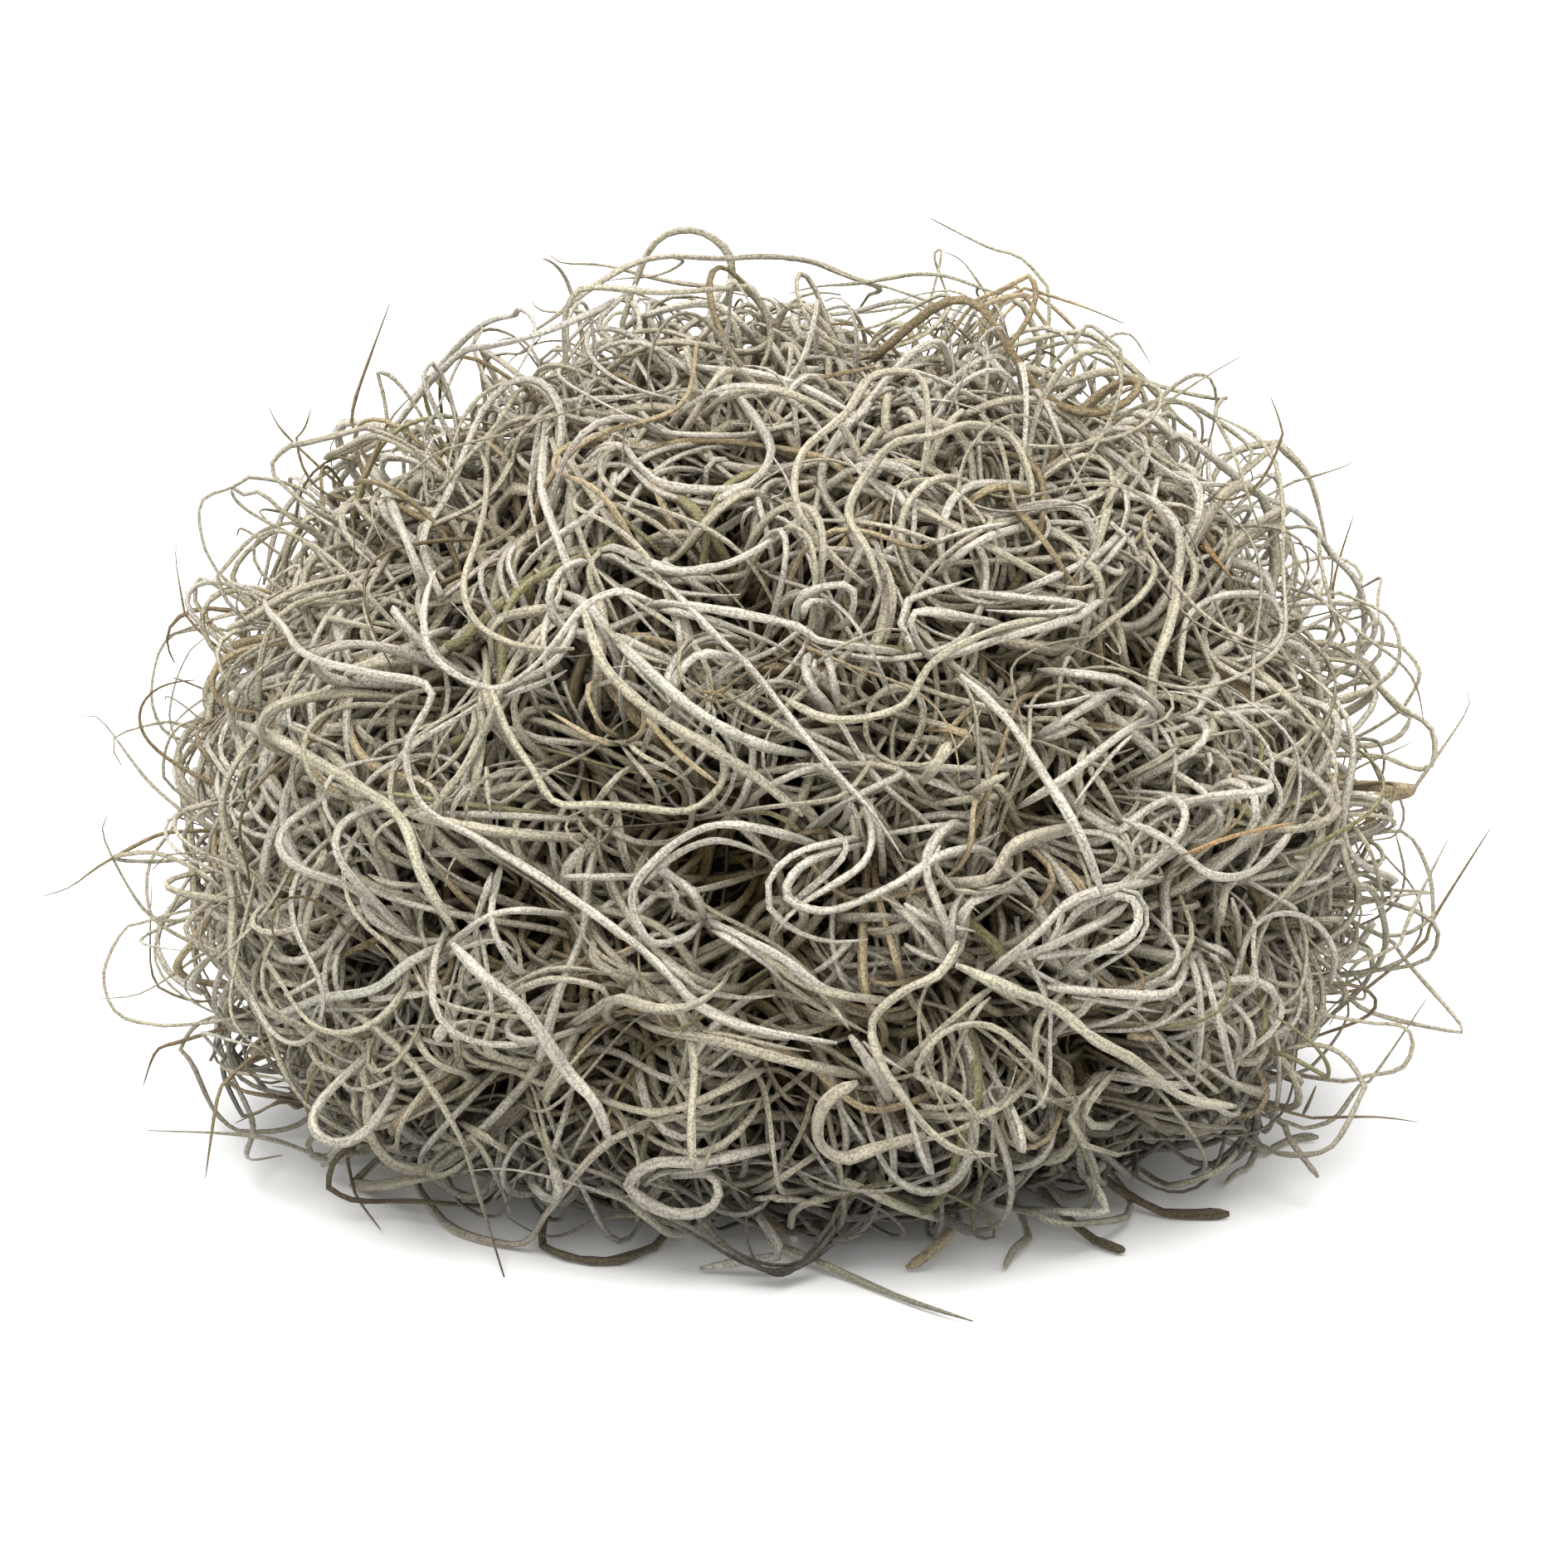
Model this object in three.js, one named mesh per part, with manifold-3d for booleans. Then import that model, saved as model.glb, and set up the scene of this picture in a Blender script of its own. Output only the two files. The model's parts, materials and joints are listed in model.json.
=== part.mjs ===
// Spanish moss bunch: a low round mound of tangled, curly, silver-grey leafy stems.
//
// Millimetres, +Z up, front towards -Y. The origin is the middle of the flat spot the bunch rests on.
// One solid holds the tangle: a smaller lumpy core, and the strands that arch out of it and dive back
// or end free in the air. The loose stems on the outside and the dried bits are solids of their own,
// each laid over what it crosses.

import * as THREE from 'three';
import { mergeVertices } from 'three/addons/utils/BufferGeometryUtils.js';
import Module from 'manifold-3d';

const wasm = await Module();
wasm.setup();

// ---- driving dimensions ------------------------------------------------------------------------

const bunchWidth = 116;       // across X, without the free tips
const bunchDepth = 102;       // across Y, without the free tips
const bunchTop = 83;          // highest point of the closed mass
const waistHeight = 26;       // level where the bunch is widest
const underReach = 43;        // how far the round underside would reach below the waist, uncut
const coreInset = 10.5;       // how far the core's surface lies inside the mass
const coreLump = 4;           // the core's humps and hollows, up and down
const coreDetail = 5;         // cuts along each edge of the core's twenty starting triangles
const rootRun = 9;            // how far a rooted strand runs on while it dives into the core
const rootBite = 1.6;         // how far its end reaches into the core
const deepLift = -4.5;        // where the deepest woven strands run, from the outside of the mass
const depthSteps = 10;        // steps from the outermost to the deepest
const clearGap = 0.3;         // air kept between a strand and what it crosses
const climbSlope = 0.22;      // steepest way a strand climbs over another, rise over run
const highestLift = 5;        // a strand placed by rule that would have to climb higher is left out
const longestStretch = 7;     // longest straight stretch of a strand
const turnPerStretch = 0.62;  // most a strand turns from one stretch to the next, in radians
const thinnest = 0.8;         // no strand is built thinner than this
const tipShare = 0.6;         // width of the last stretch before a pointed tip, against the strand's
const strandSides = 3;        // sides of a strand
const looseSides = 4;         // sides of the loose stems on the front, which are seen best
const cornerReach = 1.15;     // how far the corners stand out, against half the strand's width

// How the routes on the front are read: by an eye in front of the bunch and a little above it.
const eyeDistance = 420;
const eyeElevation = THREE.MathUtils.degToRad(15);
const eyeShift = new THREE.Vector2(-0.4, 8.4);

// ---- the mass, an egg-like mound cut flat below ------------------------------------------------

const heart = new THREE.Vector3(0, 0, waistHeight);
const halfSizes = {
  upper: new THREE.Vector3(bunchWidth / 2, bunchDepth / 2, bunchTop - waistHeight),
  lower: new THREE.Vector3(bunchWidth / 2, bunchDepth / 2, underReach),
};

const halfFor = (z) => (z >= 0 ? halfSizes.upper : halfSizes.lower);

// A direction from the heart, and a lift above the outside of the mass, give a point.
function onMound(direction, lift, floorGap) {
  const reach = direction.clone().multiply(halfFor(direction.z));
  const point = reach.multiplyScalar(1 + lift / reach.length()).add(heart);
  point.z = Math.max(point.z, floorGap);
  return point;
}

// The direction that onMound would need for a point.
function directionTo(point) {
  const offset = point.clone().sub(heart);
  return offset.divide(halfFor(offset.z)).normalize();
}

// Humps and hollows of the core, worked out from the direction.
function lump(d) {
  const broad = Math.sin(11.1 * d.x + 1.7) * Math.cos(10.3 * d.y - 0.6 + 4 * d.z);
  const narrow = Math.sin(19.3 * d.z + 12.9 * d.x) * Math.cos(17.1 * d.y + 2.2);
  return coreLump * (0.5 * broad + 0.5 * narrow);
}

// ---- reading a route on the front --------------------------------------------------------------

const forward = new THREE.Vector3(0, Math.cos(eyeElevation), -Math.sin(eyeElevation));
const upward = new THREE.Vector3(0, Math.sin(eyeElevation), Math.cos(eyeElevation));
const sideways = new THREE.Vector3(1, 0, 0);
const eye = heart.clone()
  .addScaledVector(sideways, eyeShift.x)
  .addScaledVector(upward, eyeShift.y)
  .addScaledVector(forward, -eyeDistance);

// Where the line of sight through (across, up), in millimetres from the heart, meets the mass when it
// is made larger by the lift. A line that passes beside it gives its nearest point, and one that would
// end under the floor gives the floor.
function onFront(across, up, lift, floorGap) {
  const aim = heart.clone().addScaledVector(sideways, across).addScaledVector(upward, up);
  const line = aim.sub(eye).normalize();
  let point = null;
  for (const half of [halfSizes.upper, halfSizes.lower]) {
    const grown = half.clone().addScalar(lift);
    const start = eye.clone().sub(heart).divide(grown);
    const run = line.clone().divide(grown);
    const nearest = -start.dot(run) / run.lengthSq();
    const inside = Math.max(0, nearest ** 2 - (start.lengthSq() - 1) / run.lengthSq());
    point = eye.clone().addScaledVector(line, nearest - Math.sqrt(inside) - Math.max(0, lift) / 2);
    if (point.z >= heart.z) break;
  }
  const floor = floorGap + Math.max(0, lift);
  if (point.z < floor) {
    point = eye.clone().addScaledVector(line, (floor - eye.z) / line.z);
  }
  return point;
}

// ---- strands -----------------------------------------------------------------------------------

// A shoot is a stem and its leaves. Its knots hold a place for any lift, its limbs are lists of knots.
function newShoot(sides) {
  return { knots: [], limbs: [], sides };
}

function addLimb(shoot, knots, ends, fromKnot = null) {
  const first = shoot.knots.length;
  shoot.knots.push(...knots);
  const list = knots.map((_, i) => first + i);
  if (fromKnot !== null) list.unshift(fromKnot);
  shoot.limbs.push({ list, ends });
  return list;
}

// Stretches that a curve needs, so that none is too long or turns too far.
function stretchCount(curve) {
  const points = curve.getSpacedPoints(curveSamples);
  let turned = 0;
  for (let i = 2; i < points.length; i += 1) {
    const before = points[i - 1].clone().sub(points[i - 2]);
    turned += Math.abs(points[i].clone().sub(points[i - 1]).cross(before)) / before.lengthSq();
  }
  return Math.max(2, Math.ceil(turned / turnPerStretch), Math.ceil(curve.getLength() / longestStretch));
}

const curveSamples = 60;

// A stem on the front from its route: a smooth curve through the points, knotted at even steps.
function frontShoot({ route, width, ends }, lift, sides) {
  const curve = new THREE.SplineCurve(route.map(([across, up]) => new THREE.Vector2(across, up)));
  const size = cornerReach * Math.max(width, thinnest) / 2;
  const knots = curve.getSpacedPoints(stretchCount(curve)).map(({ x, y }) => ({
    radius: size,
    place: (height) => onFront(x, y, height, size),
    lift,
  }));
  const shoot = newShoot(sides);
  addLimb(shoot, knots, ends);
  return shoot;
}

// Walks over the mound from a direction, along a heading, bending as it goes.
// Returns the directions passed through and the heading at each.
function wander(start, heading, length, bend, mostTurn) {
  const spots = [];
  let here = start.clone().normalize();
  let ahead = heading.clone().addScaledVector(here, -heading.dot(here)).normalize();
  const count = Math.ceil(length * Math.max(mostTurn / turnPerStretch, 1 / longestStretch));
  const step = length / count;
  for (let i = 0; i <= count; i += 1) {
    spots.push({ direction: here.clone(), heading: ahead.clone() });
    const reach = here.clone().multiply(halfFor(here.z)).length();
    const angle = step / reach;
    const next = here.clone().multiplyScalar(Math.cos(angle)).addScaledVector(ahead, Math.sin(angle));
    ahead.multiplyScalar(Math.cos(angle)).addScaledVector(here, -Math.sin(angle));
    here = next.normalize();
    const side = new THREE.Vector3().crossVectors(here, ahead);
    const turn = bend(i / count) * step;
    ahead.multiplyScalar(Math.cos(turn)).addScaledVector(side, Math.sin(turn));
    if (here.z < lowestDirection) ahead.z = Math.abs(ahead.z);
    ahead.addScaledVector(here, -ahead.dot(here)).normalize();
  }
  return spots;
}

const lowestDirection = -0.5;

// ---- laying a shoot clear of what it crosses ---------------------------------------------------

function linksOf(shoot) {
  const links = [];
  for (const { list } of shoot.limbs) {
    for (let i = 1; i < list.length; i += 1) links.push([list[i - 1], list[i]]);
  }
  return links;
}

function stretch(shoot, [a, b]) {
  const start = shoot.knots[a].place(shoot.knots[a].lift);
  const end = shoot.knots[b].place(shoot.knots[b].lift);
  return { start, end, radius: Math.max(shoot.knots[a].radius, shoot.knots[b].radius) };
}

// Shortest distance between two straight stretches.
function distanceBetween(one, other) {
  const along = one.end.clone().sub(one.start);
  const across = other.end.clone().sub(other.start);
  const between = one.start.clone().sub(other.start);
  const a = along.lengthSq();
  const b = along.dot(across);
  const c = across.lengthSq();
  const d = along.dot(between);
  const e = across.dot(between);
  const spread = a * c - b * b;
  let s = spread > 1e-9 ? THREE.MathUtils.clamp((b * e - c * d) / spread, 0, 1) : 0;
  let t = (b * s + e) / c;
  if (t < 0 || t > 1) {
    t = THREE.MathUtils.clamp(t, 0, 1);
    s = THREE.MathUtils.clamp((b * t - d) / a, 0, 1);
  }
  return between.addScaledVector(along, s).addScaledVector(across, -t).length();
}

function farApart(one, other, need) {
  const limit = need + (one.start.distanceTo(one.end) + other.start.distanceTo(other.end)) / 2;
  const middleX = (one.start.x + one.end.x - other.start.x - other.end.x) / 2;
  const middleY = (one.start.y + one.end.y - other.start.y - other.end.y) / 2;
  const middleZ = (one.start.z + one.end.z - other.start.z - other.end.z) / 2;
  return middleX ** 2 + middleY ** 2 + middleZ ** 2 > limit ** 2;
}

// Steps between two links along the shoot, counted up to a few.
function linksAway(links, from, to) {
  let reached = new Set(links[from]);
  for (let steps = 0; steps < selfSkip; steps += 1) {
    if (reached.has(links[to][0]) || reached.has(links[to][1])) return steps;
    const wider = new Set(reached);
    for (const [a, b] of links) {
      if (reached.has(a)) wider.add(b);
      if (reached.has(b)) wider.add(a);
    }
    reached = wider;
  }
  return selfSkip;
}

const selfSkip = 3;      // stretches of one shoot closer than this along it may touch
const mostPasses = 80;
const liftShare = 0.7;   // share of a missing clearance that one pass lifts
const leastLift = 0.02;
const nearEnough = 1e-3;

// Lifts the knots of a shoot until every stretch clears the others and its own earlier stretches, and
// no stretch climbs too steeply. Says whether it got clear without standing too far off.
function layOver(shoot, others) {
  const links = linksOf(shoot);
  const apart = links.map((_, i) => links.map((__, j) => j < i && linksAway(links, i, j) >= selfSkip));
  for (let pass = 0; pass < mostPasses; pass += 1) {
    let moved = false;
    const now = links.map((link) => stretch(shoot, link));
    links.forEach((link, i) => {
      let short = 0;
      const compare = (other) => {
        const need = now[i].radius + other.radius + clearGap;
        if (farApart(now[i], other, need)) return;
        short = Math.max(short, need - distanceBetween(now[i], other));
      };
      others.forEach(compare);
      now.forEach((other, j) => {
        if (apart[i][j]) compare(other);
      });
      if (short > nearEnough) {
        for (const knot of link) shoot.knots[knot].lift += short * liftShare + leastLift;
        moved = true;
      }
    });
    for (const [a, b] of [...links, ...links.toReversed()]) {
      const start = shoot.knots[a];
      const end = shoot.knots[b];
      const most = climbSlope * start.place(start.lift).distanceTo(end.place(end.lift));
      start.lift = Math.max(start.lift, end.lift - most);
      end.lift = Math.max(end.lift, start.lift - most);
    }
    if (!moved) return shoot.knots.every((knot) => knot.lift - (knot.free ?? 0) < highestLift);
  }
  return false;
}

// Air between a shoot and the nearest stretch or face of the core.
function airBelow(shoot, others, coreFaces) {
  let least = Infinity;
  for (const part of linksOf(shoot).map((link) => stretch(shoot, link))) {
    for (const other of others) {
      if (farApart(part, other, searchReach)) continue;
      least = Math.min(least, distanceBetween(part, other) - part.radius - other.radius);
    }
    const middle = part.start.clone().lerp(part.end, 0.5);
    for (const face of coreFaces) {
      if (face.middle.distanceTo(middle) > searchReach + face.size + longestStretch / 2) continue;
      for (const point of [part.start, middle, part.end]) {
        face.triangle.closestPointToPoint(point, nearestOnCore);
        least = Math.min(least, nearestOnCore.distanceTo(point) - part.radius);
      }
    }
  }
  return least;
}

const searchReach = 4;   // how far a loose shoot looks for something to lie on
const nearestOnCore = new THREE.Vector3();
const settleSteps = 12;
const sinkShare = 0.35;  // share of the air below that one step sinks
const closeEnough = 0.1;

// Starts a loose shoot above the core, lays it over the others and sinks it until it touches.
function settle(shoot, others, coreFaces) {
  for (const knot of shoot.knots) {
    knot.lift = coreLump - coreInset + knot.radius + clearGap + (knot.free ?? 0);
  }
  layOver(shoot, others);
  for (let step = 0; step < settleSteps; step += 1) {
    const spare = Math.min(airBelow(shoot, others, coreFaces), searchReach) - clearGap;
    for (const knot of shoot.knots) knot.lift -= spare * sinkShare;
  }
  return layOver(shoot, others);
}

// ---- solids ------------------------------------------------------------------------------------

function solidFrom(positions, triangles) {
  const mesh = new wasm.Mesh({
    numProp: 3,
    vertProperties: new Float32Array(positions),
    triVerts: new Uint32Array(triangles),
  });
  return new wasm.Manifold(mesh);
}

// A direction that no strand runs along, to start its rings from.
const skew = new THREE.Vector3(0.31, 0.22, 0.92);

// A closed strand along a line of points: rings of corners, carried along without twisting, with a
// flat cut at a plain end and a point at a tip.
function strandSolid(points, radii, ends, sides) {
  const positions = [];
  const triangles = [];
  const tangents = points.map((_, i) => {
    const before = points[Math.max(i - 1, 0)];
    const after = points[Math.min(i + 1, points.length - 1)];
    return after.clone().sub(before).normalize();
  });
  const tipStart = ends[0] === 't';
  const tipEnd = ends[1] === 't';
  const last = points.length - 1;
  let side = skew.clone().cross(tangents[0]).normalize();
  const rings = [];
  points.forEach((point, i) => {
    side = side.clone().addScaledVector(tangents[i], -side.dot(tangents[i])).normalize();
    const other = tangents[i].clone().cross(side);
    const first = positions.length / 3;
    if ((i === 0 && tipStart) || (i === last && tipEnd)) {
      positions.push(point.x, point.y, point.z);
      rings.push([first]);
      return;
    }
    const ring = [];
    for (let k = 0; k < sides; k += 1) {
      const turn = (2 * Math.PI * k) / sides;
      const corner = point.clone()
        .addScaledVector(side, radii[i] * Math.cos(turn))
        .addScaledVector(other, radii[i] * Math.sin(turn));
      positions.push(corner.x, corner.y, Math.max(corner.z, 0));
      ring.push(first + k);
    }
    rings.push(ring);
  });
  for (let i = 1; i <= last; i += 1) {
    for (let k = 0; k < sides; k += 1) {
      const next = (k + 1) % sides;
      const a = rings[i - 1][k];
      const b = rings[i - 1][next];
      const c = rings[i][next];
      const d = rings[i][k];
      if (rings[i - 1].length === 1) triangles.push(rings[i - 1][0], c, d);
      else if (rings[i].length === 1) triangles.push(a, b, rings[i][0]);
      else triangles.push(a, b, c, a, c, d);
    }
  }
  for (let k = 1; k < sides - 1; k += 1) {
    if (!tipStart) triangles.push(rings[0][0], rings[0][k + 1], rings[0][k]);
    if (!tipEnd) triangles.push(rings[last][0], rings[last][k], rings[last][k + 1]);
  }
  return solidFrom(positions, triangles);
}

// A rooted end gets one more point: the strand runs on a little and dives into the core.
function withRoots(points, ends) {
  const rooted = [...points];
  const dive = (end, before) => {
    const onward = end.clone().sub(before).setLength(rootRun).add(end);
    return onMound(directionTo(onward), -coreInset - coreLump - rootBite, thinnest);
  };
  const last = points.length - 1;
  if (ends[0] === 'r') rooted.unshift(dive(points[0], points[1]));
  if (ends[1] === 'r') rooted.push(dive(points[last], points[last - 1]));
  return rooted;
}

function lineOf(shoot, { list, ends }, rooted) {
  const points = list.map((knot) => shoot.knots[knot].place(shoot.knots[knot].lift));
  return rooted ? withRoots(points, ends) : points;
}

const limbRadius = (shoot, { list }) => shoot.knots[list[list.length - 1]].radius;

// The straight stretches of a finished shoot, which later stems have to clear.
function stretchesOf(shoot, rooted) {
  return shoot.limbs.flatMap((limb) => {
    const line = lineOf(shoot, limb, rooted);
    const radius = limbRadius(shoot, limb);
    return line.slice(1).map((end, i) => ({ start: line[i], end, radius }));
  });
}

function limbSolid(shoot, limb, rooted) {
  const { ends } = limb;
  const line = lineOf(shoot, limb, rooted);
  const radius = limbRadius(shoot, limb);
  const radii = line.map((_, i) => {
    const nearTip = (ends[1] === 't' && i >= line.length - 3) || (ends[0] === 't' && i <= 2);
    return nearTip ? Math.max(radius * tipShare, thinnest / 2) : radius;
  });
  return strandSolid(line, radii, ends, shoot.sides);
}

function shootSolid(shoot, rooted) {
  return shoot.limbs
    .map((limb) => limbSolid(shoot, limb, rooted))
    .reduce((whole, limb) => whole.add(limb));
}

// The solid of a settled shoot, sunk by the air that is left between its flat sides and what it lies
// on, and raised again where that took it too far.
function restOn(shoot, laid) {
  let solid = mainBody(shootSolid(shoot, false));
  let air = solid.minGap(laid, searchReach) - clearGap;
  const move = (rise) => {
    for (const knot of shoot.knots) knot.lift += rise;
    solid = mainBody(shootSolid(shoot, false));
    air = solid.minGap(laid, searchReach) - clearGap;
  };
  for (let step = 0; step < settleSteps && air > closeEnough; step += 1) move(-air * sinkShare);
  for (let step = 0; step < settleSteps && air < -closeEnough; step += 1) move(clearGap / 2);
  return solid;
}

// Fusing can leave a scrap or seal a tiny hollow. Only the main body is kept, and hollows are filled.
function mainBody(solid) {
  const bodies = solid.decompose();
  return bodies.reduce((best, body) => (body.volume() > best.volume() ? body : best));
}

function toGeometry(solid) {
  const mesh = solid.getMesh();
  const geometry = new THREE.BufferGeometry();
  geometry.setAttribute('position', new THREE.BufferAttribute(new Float32Array(mesh.vertProperties), 3));
  geometry.setIndex(new THREE.BufferAttribute(new Uint32Array(mesh.triVerts), 1));
  geometry.computeVertexNormals();
  return geometry;
}

// ---- the core ----------------------------------------------------------------------------------

function coreSolid() {
  const ball = new THREE.IcosahedronGeometry(1, coreDetail);
  ball.deleteAttribute('normal');
  ball.deleteAttribute('uv');
  const merged = mergeVertices(ball, 1e-4);
  const place = merged.getAttribute('position');
  const positions = [];
  for (let i = 0; i < place.count; i += 1) {
    const direction = new THREE.Vector3().fromBufferAttribute(place, i).normalize();
    const point = onMound(direction, lump(direction) - coreInset, -underReach);
    positions.push(point.x, point.y, point.z);
  }
  const block = new THREE.BoxGeometry(2 * bunchWidth, 2 * bunchDepth, 2 * underReach);
  block.translate(0, 0, -underReach);
  block.deleteAttribute('normal');
  block.deleteAttribute('uv');
  const floorBlock = mergeVertices(block);
  const floor = solidFrom(floorBlock.getAttribute('position').array, floorBlock.getIndex().array);
  return solidFrom(positions, merged.getIndex().array).subtract(floor);
}

function facesOf(solid) {
  const mesh = solid.getMesh();
  const corner = (face, k) => {
    const at = 3 * mesh.triVerts[3 * face + k];
    return new THREE.Vector3(...mesh.vertProperties.subarray(at, at + 3));
  };
  return Array.from({ length: mesh.triVerts.length / 3 }, (_, face) => {
    const triangle = new THREE.Triangle(corner(face, 0), corner(face, 1), corner(face, 2));
    const middle = triangle.getMidpoint(new THREE.Vector3());
    const size = Math.max(...[triangle.a, triangle.b, triangle.c].map((p) => p.distanceTo(middle)));
    return { triangle, middle, size };
  });
}

// ---- routes on the front, as [across, up] from the heart ---------------------------------------

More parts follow.
